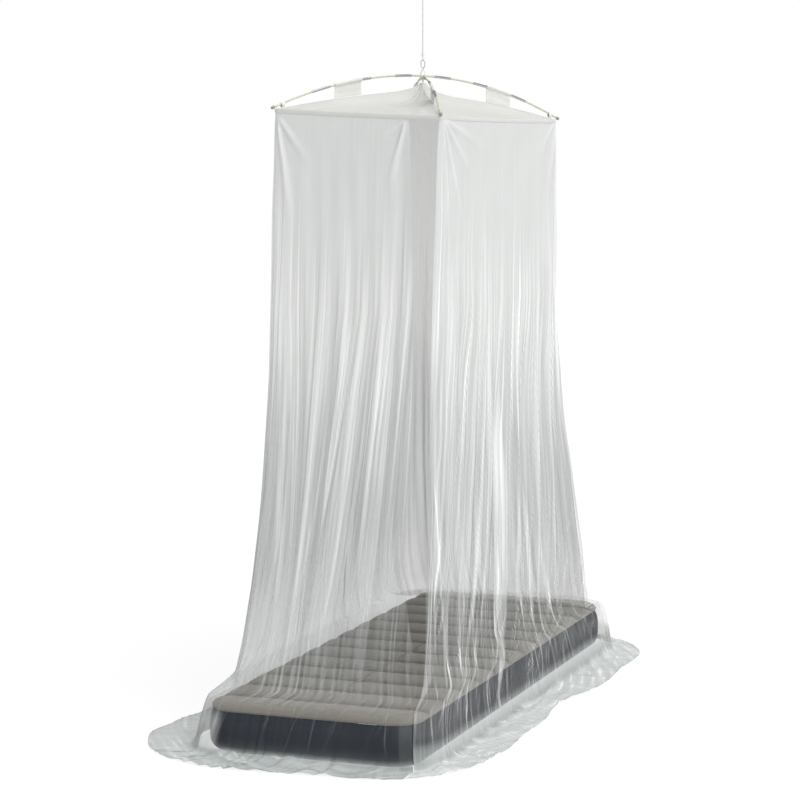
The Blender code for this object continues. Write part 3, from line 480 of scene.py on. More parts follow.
def grid_piece(
    name, points, finish, uv=None, attributes=None, closed=False, filled=False, ends=()
):
    """A mesh through rows of points, with the cloth's own coordinates in metres as its UV map.

    filled bridges the last ring of a rounded shape, and ends caps the rings it names."""
    rows, columns = points.shape[:2]
    index = np.arange(rows * columns).reshape(rows, columns)
    if closed:
        index = np.concatenate([index, index[:, :1]], axis=1)
    quads = corners_of(index, -1).reshape(-1, 4)
    mesh = bpy.data.meshes.new(name)
    caps = [index[row, :columns].tolist() for row in ends]
    lowered = points.reshape(-1, 3) + (0, 0, FLOOR)
    mesh.from_pydata(lowered.tolist(), [], [*quads.tolist(), *caps])
    if uv is not None:
        corners = corners_of(uv, -2).astype(np.float32).ravel()
        layer = mesh.uv_layers.new(name="cloth")
        spare = np.zeros(2 * len(layer.data) - len(corners), np.float32)
        layer.data.foreach_set("uv", np.concatenate([corners, spare]))
    for label, values in (attributes or {}).items():
        layer = mesh.attributes.new(label, "FLOAT", "POINT")
        values = np.broadcast_to(values, (rows, columns)).astype(np.float32)
        layer.data.foreach_set("value", values.ravel())
    if filled:
        close_last_ring(mesh, index[-1])
    mesh.shade_smooth()
    mesh.materials.append(MATERIALS[finish])
    obj = bpy.data.objects.new(name, mesh)
    bpy.context.scene.collection.objects.link(obj)
    return obj


def corners_of(grid, axis):
    """What a grid holds at the four corners of each of its cells."""
    return np.stack([grid[:-1, :-1], grid[:-1, 1:], grid[1:, 1:], grid[1:, :-1]], axis=axis)


def close_last_ring(mesh, ring):
    """Bridges the two sides of the narrow last ring of a rounded shape."""
    shape = bmesh.new()
    shape.from_mesh(mesh)
    shape.verts.ensure_lookup_table()
    count = len(ring) - 1
    for k in range(count // 2):
        a, b, c, d = (int(ring[i]) for i in (k, k + 1, count - 2 - k, count - 1 - k))
        corners = [shape.verts[i] for i in dict.fromkeys((a, b, c, d))]
        if len(corners) > 2 and not shape.faces.get(corners):
            shape.faces.new(corners)
    shape.to_mesh(mesh)
    shape.free()


def cloth_uv(points, closed=False):
    """Distances along and down the cloth."""
    if closed:
        points = np.concatenate([points, points[:, :1]], axis=1)
    along = np.linalg.norm(np.diff(points, axis=1), axis=2)
    along = np.concatenate([np.zeros((len(points), 1)), np.cumsum(along, axis=1)], axis=1)
    down = np.linalg.norm(np.diff(points, axis=0), axis=2)
    down = np.concatenate([np.zeros((1, points.shape[1])), np.cumsum(down, axis=0)], axis=0)
    return np.stack([along, down], axis=-1)


def bar(name, path, radii, finish, sides=16, cyclic=False):
    """A round bar along a path, with its radius at each point, or at each point of each ring."""
    path = np.array(path, float)
    if cyclic:
        path = np.concatenate([path, path[:1]])
        onward = np.gradient(np.concatenate([path[-2:-1], path, path[1:2]]), axis=0)[1:-1]
    else:
        onward = np.gradient(path, axis=0)
    onward /= np.linalg.norm(onward, axis=1, keepdims=True)
    turn = np.arange(sides)[:, None] * 2 * math.pi / sides
    radii = np.reshape(radii, (-1, 1) if np.ndim(radii) < 2 else np.shape(radii))
    radii = np.broadcast_to(radii, (len(path), sides))
    side, rings = np.array([0.03, 1.0, 0.02]), []  # no path runs this way
    for place, way, reach in zip(path, onward, radii):
        side = side - way * side.dot(way)
        side /= np.linalg.norm(side)
        arm = np.cos(turn) * side + np.sin(turn) * np.cross(way, side)
        rings.append(place + reach[:, None] * arm)
    if cyclic:
        rings[-1] = rings[0]
    ends = () if cyclic else (0, -1)
    piece = grid_piece(name, np.array(rings), finish, closed=True, ends=ends)
    shape = bmesh.new()
    shape.from_mesh(piece.data)
    bmesh.ops.remove_doubles(shape, verts=shape.verts, dist=1e-7)
    bmesh.ops.recalc_face_normals(shape, faces=shape.faces)
    shape.to_mesh(piece.data)
    shape.free()
    return piece


def upright(heights):
    """Points on the vertical through the origin."""
    return np.column_stack([heights * 0, heights * 0, heights])


def stations(start, end, radius, nose, tail, spacing):
    """Lengths along a bar from start to end, and its radius at each, rounded over at both ends."""
    turn = np.linspace(0.15, math.pi / 2, 6)
    count = max(2, round((end - start - nose - tail) / spacing))
    middle = np.linspace(start + nose, end - tail, count + 1)[1:-1]
    first, last = start + nose * (1 - np.cos(turn)), end - tail * (1 - np.cos(turn))
    radii = radius * np.concatenate([np.sin(turn), np.ones(len(middle)), np.sin(turn)[::-1]])
    return np.concatenate([first, middle, last[::-1]]), radii


def fitted(obj, slot, *nodes):
    """The piece stands for its nodes, which it hides, and rides with the root body."""
    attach(obj, "root")
    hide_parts(*nodes)
    return obj


# ------------------------------------------------------------------ materials
def opaque(colour):
    return (*colour, 1.0) if isinstance(colour, tuple) else colour


def shade(colour, factor):
    return tuple(min(1.0, c * factor) for c in colour)


def waves_apart(pitch):
    """The texture scale that puts a plain wave's crests one pitch apart."""
    return math.pi / 10 / pitch


class Shader:
    """A material and short ways to add and link its nodes."""

    def __init__(self, name, roughness, **values):
        self.material = bpy.data.materials.new(name)
        self.material.use_nodes = True
        self.tree = self.material.node_tree
        self.base = self.tree.nodes["Principled BSDF"]
        for label, value in {"Roughness": roughness, **values}.items():
            self.base.inputs[label.replace("_", " ")].default_value = value
        MATERIALS[name] = self.material

    def link(self, value, socket):
        """Joins another node's output to the socket, or sets a plain value there."""
        if isinstance(value, bpy.types.NodeSocket):
            self.tree.links.new(value, socket)
        else:
            socket.default_value = value

    def add(self, kind, inputs, output=0, **settings):
        """An output of a new node, with its inputs linked or set."""
        made = self.tree.nodes.new("ShaderNode" + kind)
        for label, value in settings.items():
            setattr(made, label, value)
        for place, value in inputs.items():
            self.link(value, made.inputs[place])
        return made.outputs[output]

    def math(self, operation, a, b=0.0, c=0.0, clamp=False):
        """a and b combined. MULTIPLY_ADD also adds c."""
        return self.add("Math", {0: a, 1: b, 2: c}, operation=operation, use_clamp=clamp)

    def mapped(self, source, scale):
        coordinates = self.add("TexCoord", {}, source)
        return self.add("Mapping", {"Vector": coordinates, "Scale": scale})

    def noise(self, place, detail):
        return self.add("TexNoise", {"Vector": place, "Scale": 1.0, "Detail": detail}, "Fac")

    def wave(self, scale, direction):
        """A plain sine wave along the cloth's X or Y, from 0 to 1."""
        place = self.mapped("UV", (scale, 0, 0) if direction == "X" else (0, scale, 0))
        settings = {"wave_type": "BANDS", "bands_direction": direction}
        return self.add("TexWave", {"Vector": place, "Scale": 1.0}, "Fac", **settings)

    def strands(self, across, down, apart):
        """Uneven long streaks that follow the folds, across to the metre."""
        x = self.math("MULTIPLY", self.attribute("strand"), across)
        y = self.math("MULTIPLY", self.attribute("fall"), down)
        return self.noise(self.add("CombineXYZ", {0: x, 1: y, 2: apart}), 2.0)

    def risen(self, value, low, high, amount):
        """From 0 at low to amount at high, with level ends."""
        inputs = {"Value": value, "From Min": low, "From Max": high, "To Max": amount}
        return self.add("MapRange", inputs, interpolation_type="SMOOTHSTEP")

    def attribute(self, name):
        return self.add("Attribute", {}, "Fac", attribute_name=name)

    def blend(self, factor, first, second):
        inputs = {0: factor, 6: opaque(first), 7: opaque(second)}
        return self.add("Mix", inputs, 2, data_type="RGBA")

    def colour(self, value):
        self.link(opaque(value), self.base.inputs["Base Color"])

    def see_through(self, alpha):
        self.link(alpha, self.base.inputs["Alpha"])

    def bump(self, height, strength, distance):
        inputs = {"Height": height, "Strength": strength, "Distance": distance}
        self.link(self.add("Bump", inputs), self.base.inputs["Normal"])


def net_material():
    """Fine net: its threads, and the streaks where its folds lie close, which follow them down.
    Its colour carries painted light and shade from the pale attribute, and the streaks lighten it
    as a painted highlight.
    """
    net = Shader("net", 0.9)
    scale = waves_apart(MESH_PITCH)
    threads = net.math("MAXIMUM", net.wave(scale, "X"), net.wave(scale, "Y"))
    weave = net.math("MULTIPLY_ADD", threads, 0.16, 0.91)
    wide = net.strands(78.0, 1.1, 0.0)
    thin = net.strands(210.0, 1.8, 5.0)
    bright = net.math("ADD", net.risen(wide, 0.50, 0.66, 0.65), net.risen(thin, 0.52, 0.68, 0.50))
    streaks = net.math("SUBTRACT", bright, net.risen(wide, 0.52, 0.36, 0.28))
    lit = net.math("MULTIPLY", streaks, net.attribute("drawn"))
    woven = net.math("MULTIPLY", net.attribute("closeness"), weave)
    net.see_through(net.math("MULTIPLY_ADD", lit, 0.20, woven, clamp=True))
    clouds = net.noise(net.mapped("UV", (9.0, 4.0, 1.0)), 2.0)
    # The pale attribute holds painted shade and painted highlights, with random clouds on it.
    pale = net.math("MULTIPLY_ADD", clouds, 0.08, net.attribute("pale"))
    brighter = net.math("MULTIPLY_ADD", lit, 0.17, pale, clamp=True)
    net.colour(net.blend(brighter, (0.0, 0.042, 0.036), (0.978, 0.982, 0.972)))
    net.bump(wide, 0.4, 0.002)


def cloth_material(name, colour, closeness=1.0):
    """A plain weave, with a line of stitches where the piece has any."""
    cloth = Shader(name, 0.88, Sheen_Weight=0.15)
    scale = waves_apart(THREAD_PITCH)
    weave = cloth.math("MULTIPLY", cloth.wave(scale, "X"), cloth.wave(scale, "Y"))
    clouds = cloth.noise(cloth.mapped("Object", (14.0, 14.0, 14.0)), 3.0)
    fibres = cloth.noise(cloth.mapped("UV", (700.0, 60.0, 1.0)), 3.0)
    sewn = cloth.attribute("sewn")
    stitches = cloth.math("MULTIPLY", cloth.wave(waves_apart(STITCH_PITCH), "X"), sewn)
    worn = cloth.blend(cloth.math("MULTIPLY", clouds, 0.3), colour, shade(colour, 0.84))
    thready = cloth.blend(cloth.math("MULTIPLY", fibres, 0.18), worn, shade(colour, 1.12))
    cloth.colour(cloth.blend(cloth.math("MULTIPLY", stitches, 0.45), thready, shade(colour, 0.62)))
    relief = cloth.math("SUBTRACT", cloth.math("ADD", weave, clouds), stitches)
    cloth.bump(relief, 0.3, 0.0006)
    if closeness < 1.0:
        cloth.see_through(cloth.math("MULTIPLY_ADD", weave, 0.1, closeness))


def hard_material(name, colour, roughness, metallic=0.0, grain=(60.0, 60.0, 60.0)):
    hard = Shader(name, roughness, Metallic=metallic)
    specks = hard.noise(hard.mapped("Object", grain), 5.0)
    hard.colour(hard.blend(specks, shade(colour, 0.8), shade(colour, 1.2)))
    hard.bump(specks, 0.15, 0.0004)


def make_materials():
    net_material()
    cloth_material("roof_cloth", (0.60, 0.605, 0.575), closeness=0.93)
    cloth_material("tape", (0.80, 0.80, 0.775))
    cloth_material("tab_cloth", (0.82, 0.82, 0.79), closeness=0.68)
    # A darker copy of the tape for the eave's binding, as painted shade; the tabs' cloth above is
    # a little lighter, as a painted highlight.
    cloth_material("shaded_binding_tape", (0.66, 0.665, 0.64))
    hard_material("fibreglass", (0.60, 0.59, 0.47), 0.42, grain=(400.0, 400.0, 60.0))
    hard_material("steel", (0.58, 0.59, 0.60), 0.32, 1.0, grain=(900.0, 900.0, 900.0))
    hard_material("dark_rubber", (0.27, 0.27, 0.25), 0.6)
    hard_material("cord", (0.78, 0.78, 0.77), 0.8, grain=(900.0, 900.0, 300.0))
    flock = Shader("flocked_top", 0.95, Sheen_Weight=0.35, Sheen_Roughness=0.5)
    pile = flock.noise(flock.mapped("Object", (700.0, 700.0, 700.0)), 2.0)
    patches = flock.noise(flock.mapped("Object", (7.0, 16.0, 7.0)), 4.0)
    nap = flock.blend(patches, (0.145, 0.133, 0.112), (0.205, 0.189, 0.162))
    # Painted shade: the flock darkens down into each seam between channels as the dip attribute
    # rises.
    flock.colour(flock.blend(flock.attribute("dip"), nap, (0.028, 0.026, 0.022)))
    flock.bump(flock.math("ADD", pile, flock.math("MULTIPLY", patches, 2.5)), 0.5, 0.0016)
    vinyl = Shader("navy_side", 0.48, Specular_IOR_Level=0.28)
    skin = vinyl.noise(vinyl.mapped("Object", (5.0, 5.0, 14.0)), 5.0)
    grain = vinyl.noise(vinyl.mapped("Object", (500.0, 500.0, 500.0)), 1.0)
    vinyl.colour(vinyl.blend(skin, (0.006, 0.009, 0.016), (0.015, 0.020, 0.032)))
    vinyl.bump(vinyl.math("ADD", skin, vinyl.math("MULTIPLY", grain, 0.02)), 0.5, 0.0030)


# ------------------------------------------------------------------ the net's wall
def eave_height(x, y):
    """The tilted frame's edge, from its four corners, with a slight sag between them."""
    u = np.clip((x + FRAME_HALF_WIDTH) / (2 * FRAME_HALF_WIDTH), 0, 1)
    v = np.clip((y + FRAME_HALF_LENGTH) / (2 * FRAME_HALF_LENGTH), 0, 1)
    near = between(CORNER_HEIGHTS["near_left"], CORNER_HEIGHTS["near_right"], u)
    far = between(CORNER_HEIGHTS["far_left"], CORNER_HEIGHTS["far_right"], u)
    sag = EAVE_SAG * 4 * np.minimum(1.0, u * (1 - u) + v * (1 - v))
    return between(near, far, v) - sag


class Loop:
    """One level loop of the wall, at a fractional row of its tables."""

    def __init__(self, row):
        columns = [*list(zip(*WALL_LOOPS))[1:], *list(zip(*WALL_CORNERS))[1:]]
        values = {name: through(column, row) for name, column in zip(LOOP_COLUMNS, columns)}
        corners = [Vector((values[c + "_x"], values[c + "_y"])) for c in ("nl", "nr", "fr", "fl")]
        points = []
        for i, corner in enumerate(corners):
            into = (corner - corners[i - 1]).normalized()
            out = (corners[(i + 1) % 4] - corner).normalized()
            turn = into.angle(out)
            start = corner - into * values["radius"] * math.tan(turn / 2)
            centre = start + Vector((-into.y, into.x)) * values["radius"]
            for k in range(ARC_STEPS + 1):
                arm = (start - centre).copy()
                arm.rotate(Matrix.Rotation(turn * k / ARC_STEPS, 2))
                points.append(centre + arm)
        points.append(points[0])
        self.values = values
        self.points = np.array([(p.x, p.y) for p in points])
        steps = np.hypot(*np.diff(self.points, axis=0).T)
        self.lengths = np.concatenate([[0], np.cumsum(steps)])
        self.corners = [*self.lengths[ARC_STEPS // 2 : -1 : ARC_STEPS + 1]]
        self.corners.append(self.lengths[-1] + self.corners[0])

    def at(self, s):
        s = np.mod(s, self.lengths[-1])
        return np.stack([np.interp(s, self.lengths, axis) for axis in self.points.T], axis=-1)

    def outward(self, s):
        onward = self.at(s + LOOP_STEP) - self.at(s - LOOP_STEP)
        outward = np.stack([onward[:, 1], -onward[:, 0]], axis=-1)
        return outward / np.linalg.norm(outward, axis=1, keepdims=True)

    def entry(self, name):
        """The running length where one of the slit's edges crosses the near wall."""
        near = (self.lengths >= self.corners[0]) & (self.lengths <= self.corners[1])
        return np.interp(self.values[name], self.points[near, 0], self.lengths[near])

    def span(self, panel):
        """The running lengths where a panel starts and ends, and those of its wall's corners."""
        wall = list(PANELS).index(panel)
        first, last = self.corners[wall : wall + 2]
        start = self.entry("entry_right") if panel == "right" else first + SEAM_GAP / 2
        end = self.entry("entry_left") if panel == "front" else last - SEAM_GAP / 2
        return start, end, first, last


def hem_swing(waves, place, wall_length):
    return sum(
        depth * bell((place - middle) * wall_length / width) for middle, width, depth in waves
    )


def drift(height):
    """How far a fold's crest has gone from its high place towards its low one."""
    way_down = (PLACE_HIGH_AT - height) / (PLACE_HIGH_AT - PLACE_LOW_AT)
    return np.clip(way_down, DRIFT_FROM, DRIFT_TO)


class Wall:
    """One panel of the net as a grid, with what each point needs for its folds and looks."""

    def __init__(self, panel):
        self.panel, self.near = panel, panel in ("front", "right")
        columns, self.fine_count, self.seed, *self.flat = PANELS[panel]
        self.line_loss, self.streak_loss, self.foot_row, self.foot_closer = PANEL_LOOKS[panel]
        rows = [loop + k / parts for loop, parts in enumerate(WALL_ROWS) for k in range(parts)]
        rows.append(len(WALL_LOOPS) - 1.0)
        shares = [HEM_SHARE.get(loop[0], 0.0) for loop in WALL_LOOPS]
        plain, places, facts = [], [], []
        for row, swing in zip(rows, np.interp(rows, range(len(shares)), shares)):
            loop = Loop(row)
            values = loop.values
            start, end, first, last = loop.span(panel)
            s = np.linspace(start, end, columns)
            place = (s - first) / (last - first)
            level = loop.at(s)
            x, y = level.T
            end_y = np.where(y > 0, values["fr_y"], -values["nr_y"])
            end_share = ease((np.abs(y) - (end_y - END_TURN_START)) / END_TURN)
            height = between(values["side_z"], values["end_z"], end_share)
            tilt = eave_height(x, y) - WALL_LOOPS[0][1]
            height = height + rise(height, *TILTED_HEIGHTS) * tilt
            swung = hem_swing(HEM_WAVES[panel], place, last - first) * swing
            plain.append(np.column_stack([level + loop.outward(s) * swung[:, None], height]))
            places.append(place)
            close = values["close_near" if self.near else "close_far"]
            facts.append([last - first, values["fold"], close, values["pale"], row])
        self.plain, self.place = np.array(plain), np.array(places)
        self.plain[0, :, 2] -= WALL_TOP_DROP
        self.length, self.strength, self.close, self.pale, self.row = np.array(facts).T[:, :, None]
        self.height = self.plain[..., 2]
        self.edge = self.place[:, -1:] if panel == "front" else self.place[:, :1]
        self.on_floor = rise(self.row, *FLOOR_ROWS)

    def from_crest(self, high, low):
        """Distance along the wall from a fold's crest, in metres."""
        return (self.place - between(high, low, drift(self.height))) * self.length

    def fine_folds(self):
        """Uneven small folds between the main ones."""
        rng = np.random.default_rng(self.seed)
        main = np.array(FOLDS[self.panel])
        edge = float(self.edge.mean())
        for k in range(self.fine_count):
            high = (k + rng.uniform(-FINE_SHIFT, FINE_SHIFT)) / self.fine_count
            with_main = np.interp(high, main[:, 0], main[:, 1] - main[:, 0])
            low = high + with_main + rng.normal(0, FINE_STRAY)
            near_edge = min(abs(high), abs(1 - high), abs(high - edge)) < EDGE_PLACE
            start = EDGE_START if near_edge else rng.uniform(*FINE_START)
            end = rng.uniform(*FINE_END) if rng.random() < FINE_END_SHARE else -1.0
            width = rng.uniform(*FINE_WIDTH)
            depth = rng.uniform(*FINE_DEPTH) * rng.choice([1, 1, -1])
            bright, thin = rng.uniform(0, 1) ** 2, rng.uniform(*LINE_WIDTH)
            yield high, low, start, end, width, depth, bright, thin

    def pulled(self):
        """The soft pulls' push and the lines along them, which are painted highlights in the net's
        look.
        """
        top = self.length[0, 0]
        total, lit = 0.0, 0.0
        for place, height, to_place, to_height, width, depth in PULLS[self.panel]:
            start = np.array([place * top, height])
            way = np.array([to_place * top, to_height]) - start
            reach = np.linalg.norm(way)
            x, z = self.place * top - start[0], self.height - start[1]
            along = (x * way[0] + z * way[1]) / reach**2
            aside = (x * way[1] - z * way[0]) / reach
            fade = ease(along / 0.12) * ease((1 - along) / 0.75)
            grow = 0.5 + 1.6 * np.clip(along, 0, 1)
            total = total + depth * fade * bell(aside / (width * grow))
            lit = lit + PULL_SHINE * depth * fade * bell(aside / (PULL_LINE * grow))
        return total, lit

    def shape(self):
        """How far the folds push the cloth out of its loops, and how bright their lines are:
        painted highlights along the crests, wide on one side of a main fold and narrow on the
        other, with a sharp line at the crest.
        """
        rng = np.random.default_rng(self.seed + 1)
        push, line = np.zeros_like(self.height), np.zeros_like(self.height)
        for high, low, start, width, depth in FOLDS[self.panel]:
            grown = ease((start - self.height) / FOLD_RISE)
            away = self.from_crest(high, low)
            push += depth * grown * bell(away / width) * self.strength
            if depth > 0:
                lit, side = rng.uniform(0.5, 1.0) * depth / FULL_DEPTH, rng.choice([-1, 1])
                soft = bell(away / np.where(away * side > 0, 0.42 * width, 0.10 * width))
                sharp = bell((away + side * 0.05 * width) / SHARP_LINE)
                line += lit * grown * (0.75 * soft + 0.45 * sharp)
        spread = 1 + 0.8 * rise(self.height, *SPREAD_HEIGHTS)
        for high, low, start, end, width, depth, bright, thin in self.fine_folds():
            grown = ease((start - self.height) / FINE_RISE) * ease((self.height - end) / 0.3)
            away = self.from_crest(high, low)
            push += depth * grown * bell(away / (width * spread)) * (0.4 + 0.6 * self.strength)
            line += bright * grown * bell(away / (thin * spread))
        hollow = ripple(self.place * 7, self.height * 3.5, 1.0, self.seed) * HOLLOW_DEPTH
        pull, lit = self.pulled()
        hollow = hollow * rise(self.height, *HOLLOW_HEIGHTS)
        return push + pull + hollow, line + lit

    def normals(self):
        across = np.gradient(self.plain, axis=1)
        upward = -np.gradient(self.plain, axis=0)
        normal = np.cross(across, upward)
        return normal / np.linalg.norm(normal, axis=2, keepdims=True)

    def build(self):
        push, line = self.shape()
        low = ease((MATTRESS_TOP + 0.10 - self.height) / 0.05)  # folds only outwards down here
        push = between(push, np.abs(push), low)
        points = self.plain + self.normals() * push[..., None]
        x, y = points[..., 0], points[..., 1]
        rolls = sum(np.maximum(0, ripple(x, y, *roll)) * high for *roll, high in FLOOR_ROLLS)
        rolls = rolls * between(1.0, 0.3, rise(self.row, *HEM_ROWS))
        points[..., 2] = np.maximum(points[..., 2] + rolls * self.on_floor, ON_FLOOR)
        looks = self.looks(line, points)
        obj = grid_piece("net_" + self.panel + "_cloth", points, "net", cloth_uv(points), looks)
        fitted(obj, "net", "net_" + self.panel)
        width, area = self.flat

    def looks(self, line, points):
        """How close and how pale the net looks, and how far it is drawn into streaks."""
        row, height = self.row, self.height
        skirt = within(row, *SKIRT_ROWS)
        keep = 1 - self.line_loss * skirt
        line = line * keep * between(1.0, 0.45, rise(height, *LOW_LINE_HEIGHTS))
        self.add(line, between(*LINE_CLOSER, rise(height, *LINE_HEIGHTS)), 0.0)
        # The lines are painted lighter, as painted highlights.
        self.add(np.minimum(line, 1.3), 0.0, LINE_HIGHLIGHT)
        if self.near:
            if self.panel == "front":
                self.close = self.close * (1 - 0.5 * skirt * rise(row, *THIN_ROWS))
            self.clear_the_side()
            self.beside_slit(keep)
            if self.panel == "right":
                self.gathered()
            self.creased()
        else:
            self.over_far_edge()
        self.at_foot()
        self.wrinkled(points[..., 0], points[..., 1])
        drawn = between(0.07, 1.0, rise(height, *STREAK_HEIGHTS))
        drawn = drawn * (1 - self.streak_loss * skirt) * between(1.0, 0.45, self.on_floor)
        return {
            "closeness": np.clip(self.close, *CLOSE_LIMITS),
            "pale": np.clip(self.pale, *PALE_LIMITS),
            "drawn": drawn,
            "strand": self.strand(),
            "fall": cloth_uv(points)[..., 1],
        }

    def add(self, where, closer, paler):
        self.close, self.pale = self.close + closer * where, self.pale + paler * where

    def clear_the_side(self):
        """The mattress's side shows through the net between its edge and the floor."""
        row = self.row
        until, share, lying = CLEARED[self.panel]
        turned = 0.0
        if self.panel == "front":  # at the near left corner the net lies double
            from_corner = np.abs(self.place - 1 + self.edge) * self.length
            turned = rise(from_corner, *TURNED_PART)
            # The front skirt is painted darker where it lies on the floor, a painted shadow of the
            # mattress's near end.
            self.pale = self.pale * (1 - LYING_DARKER * rise(row, *LYING_ROWS))
        clear = ease((until - row) / 0.22) * rise(row, *CLEAR_ROWS)
        self.close = self.close * (1 - share * (1 - turned) * clear)
        self.close = between(self.close, TURNED_CLOSE, turned * rise(row, *TURNED_ROWS))
        self.add(rise(row, *LYING_ROWS), lying, 0.0)
        if self.panel == "right":
            self.add(within(row, *SIDE_ROWS), SIDE_CLOSER, 0.0)

    def over_far_edge(self):
        """The two panels behind are seen through the near ones, and lie over the far edge. Their
        tone is painted light and shade, scaled by height and row and set anew where they lie over
        the far edge.
        """
        tone = between(*FAR_PALE, rise(self.height, *FAR_PALE_HEIGHTS))
        tone = tone * (1 + FAR_PALER[self.panel] * rise(self.row, *FAR_PALE_ROWS))
        over_edge = within(self.row, *FAR_EDGE_ROWS)
        far = np.maximum(rise(self.plain[..., 1], *FAR_END), self.panel == "back")
        close = between(FAR_EDGE_CLOSE, FAR_END_CLOSE[self.panel], far)
        self.close = between(self.close, close, over_edge)
        self.pale = between(self.pale * tone, between(*FAR_EDGE_PALE, far), over_edge)

    def beside_slit(self, keep):
        """A doubled band along the slit's edges, and a thinner part beside it over the bed."""
        from_slit = np.abs(self.place - self.edge) * self.length
        high = 1 - rise(self.height, *SLIT_HEIGHTS) * keep
        self.add(rise(from_slit, *SLIT_BAND) * high, *SLIT_LOOK)
        if self.panel == "front":
            inner = rise(from_slit, *INNER_PART) * rise(self.height, *INNER_HEIGHTS)
            self.close = self.close * (1 - INNER_LOSS * inner * rise(self.row, *INNER_ROWS))

    def gathered(self):
        """The right wall's strands beside the slit, and its bands of folds that lie close: closer
        where the net gathers, and painted lighter as painted highlights.
        """
        height = self.height
        from_slit = np.abs(self.place - self.edge) * self.length
        offset = np.interp(height, *zip(*BUNDLE))
        strands = sum(bell((from_slit - offset * share) / STRAND_LINE) for share in BUNDLE_SHARES)
        strands = np.minimum(strands, 1.1) * rise(height, *BUNDLE_HEIGHTS)
        strands = strands * between(0.35, 1.0, rise(height, *BUNDLE_FOOT_HEIGHTS))
        self.add(strands, *BUNDLE_LOOK)
        for strength, half_width, heights, places in BANDS:
            width = half_width * between(0.30, 1.0, within(height, *OPEN_BAND_HEIGHTS))
            way = np.interp(height, heights[::-1], places[::-1])
            away = np.abs(self.place - way) * self.length / width
            ends = ease((heights[0] - height) / 0.35) * rise(height, *BAND_FOOT_HEIGHTS)
            band = rise(away, 1.0, 0.55) + 0.35 * bell((away - 0.82) / 0.2)  # its sides show
            self.add(strength * ends * band, *BAND_LOOK)

    def creased(self):
        """Thin bright creases down and slightly across, where the net leans over the bed: closer
        where it lies double, and painted lighter as painted highlights.
        """
        rng = np.random.default_rng(self.seed + 7)
        along, height, total = self.place * self.length, self.height, 0.0
        count, share = CREASES[self.panel]
        for _ in range(count):
            start, lean = rng.uniform(0, 1.0) * self.length.max(), rng.normal(0.0, 0.22)
            top, end = rng.uniform(0.25, 0.62), rng.uniform(-0.05, 0.20)
            waver = 0.004 * np.sin(height * rng.uniform(15, 40) + rng.uniform(0, 6))
            away = along - start - lean * (0.3 - height) + waver
            ends = ease((top - height) / 0.10) * ease((height - end) / 0.05)
            total = total + rng.uniform(0.3, 1.0) * bell(away / CREASE_LINE) * ends
        over_bed = rise(height, *CREASE_HEIGHTS) * rise(self.row, *CREASE_ROWS) * share
        self.add(np.minimum(total, 1.2) * over_bed, *CREASE_LOOK)

    def at_foot(self):
        """The net is closer at its hem. Towards its foot it is closer and painted darker, a
        painted shadow next to the mattress, and the far panels are closer and painted darker where
        they lie on the floor, as painted shade.
        """
        to_hem = np.linalg.norm(self.plain - self.plain[-1:], axis=2)
        self.add(to_hem < FLOOR_HEM, HEM_CLOSER, 0.0)
        foot = ease((self.row - self.foot_row) / 0.35) * rise(self.row, *FOOT_END_ROWS)
        self.add(foot, self.foot_closer, 0.0)
        self.pale = self.pale * (1 - FOOT_DARKER * foot)
        if not self.near:
            self.add(self.on_floor, FAR_FLOOR_CLOSER, 0.0)
            self.pale = self.pale * (1 - FAR_FLOOR_DARKER * self.on_floor)

    def wrinkled(self, x, y):
        """Folds and sharp wrinkles that run along the hem where the net lies on the floor, only in
        its look: the folds as painted light and shade, the sharp wrinkles closer and painted
        lighter as highlights.
        """
        from_middle, around = np.hypot(x * 1.6, y), np.arctan2(y, x * 2)
        folds = ripple(from_middle * 26, around * 1.6, 1.0, self.seed + 3)
        sharp = ripple(from_middle * 58 + x * 9, around * 5, 1.0, self.seed + 4)
        sharp = np.minimum(np.maximum(0, sharp) ** 2.5, 1.5)
        self.add(folds * self.on_floor, *FLOOR_FOLD_LOOK)
        self.add(sharp * self.on_floor, *WRINKLE_LOOK)

    def strand(self):
        """A length across the wall that stays the same down each fold."""
        folds = np.array(FOLDS[self.panel])
        high, low = (np.concatenate([[-0.2], folds[:, k], [1.2]]) for k in (0, 1))
        found = [
            np.interp(place, between(high, low, drift(float(np.median(height)))), high)
            for place, height in zip(self.place, self.height)
        ]
        return np.array(found) * self.length[0, 0] + self.seed


# ------------------------------------------------------------------ poles
def diagonal(pole):
    """Level way along a pole: 'right' near_left to far_right, 'left' far_left to near_right."""
    sign = 1 if pole == "right" else -1
    way = np.array([FRAME_HALF_WIDTH, sign * FRAME_HALF_LENGTH, 0.0])
    return way / np.linalg.norm(way)


def pole_line(pole, along):
    """Points of the pole's centre line, which arches between its corners and leans with them."""
    first, last = POLE_CORNERS[pole]
    crossing = CROSSING_HEIGHT if pole == "right" else CROSSING_HEIGHT - 2 * POLE_RADIUS - GAP
    low, high = CORNER_HEIGHTS[first], CORNER_HEIGHTS[last]
    lean = (high - low) / (2 * FRAME_REACH)
    end = (high + low) / 2 + POLE_RADIUS + GAP + CLOTH / 2 + POLE_LIFT
    bow = (crossing - end) / FRAME_REACH**2
    along = np.asarray(along, float)
    height = crossing + lean * along - bow * along**2
    return diagonal(pole) * along[..., None] + height[..., None] * UP


def pole_end(pole, place):
    """Whether a place along the pole lies at the camera's end of the net."""
    return "near" if (place < 0) == (pole == "right") else "far"


def crimped(from_middle):
    """The ferrule's two crimps, and its ends rolled in."""
    from_middle = np.abs(from_middle)
    pinch = bell((from_middle - CRIMP_PLACE) / CRIMP_WIDTH)
    lip = ease((from_middle - FERRULE_LENGTH / 2 + 0.0022) / 0.0008)
    return 1 - 0.09 * pinch - 0.05 * lip


def pole_piece(node, label, pole, finish, *sizes, shaped=None):
    along, radii = stations(*sizes)
    if shaped is not None:
        radii = radii * shaped(along - (sizes[0] + sizes[1]) / 2)
    piece = bar(node + label, pole_line(pole, along), radii, finish, sides=20)
    fitted(piece, finish, node)


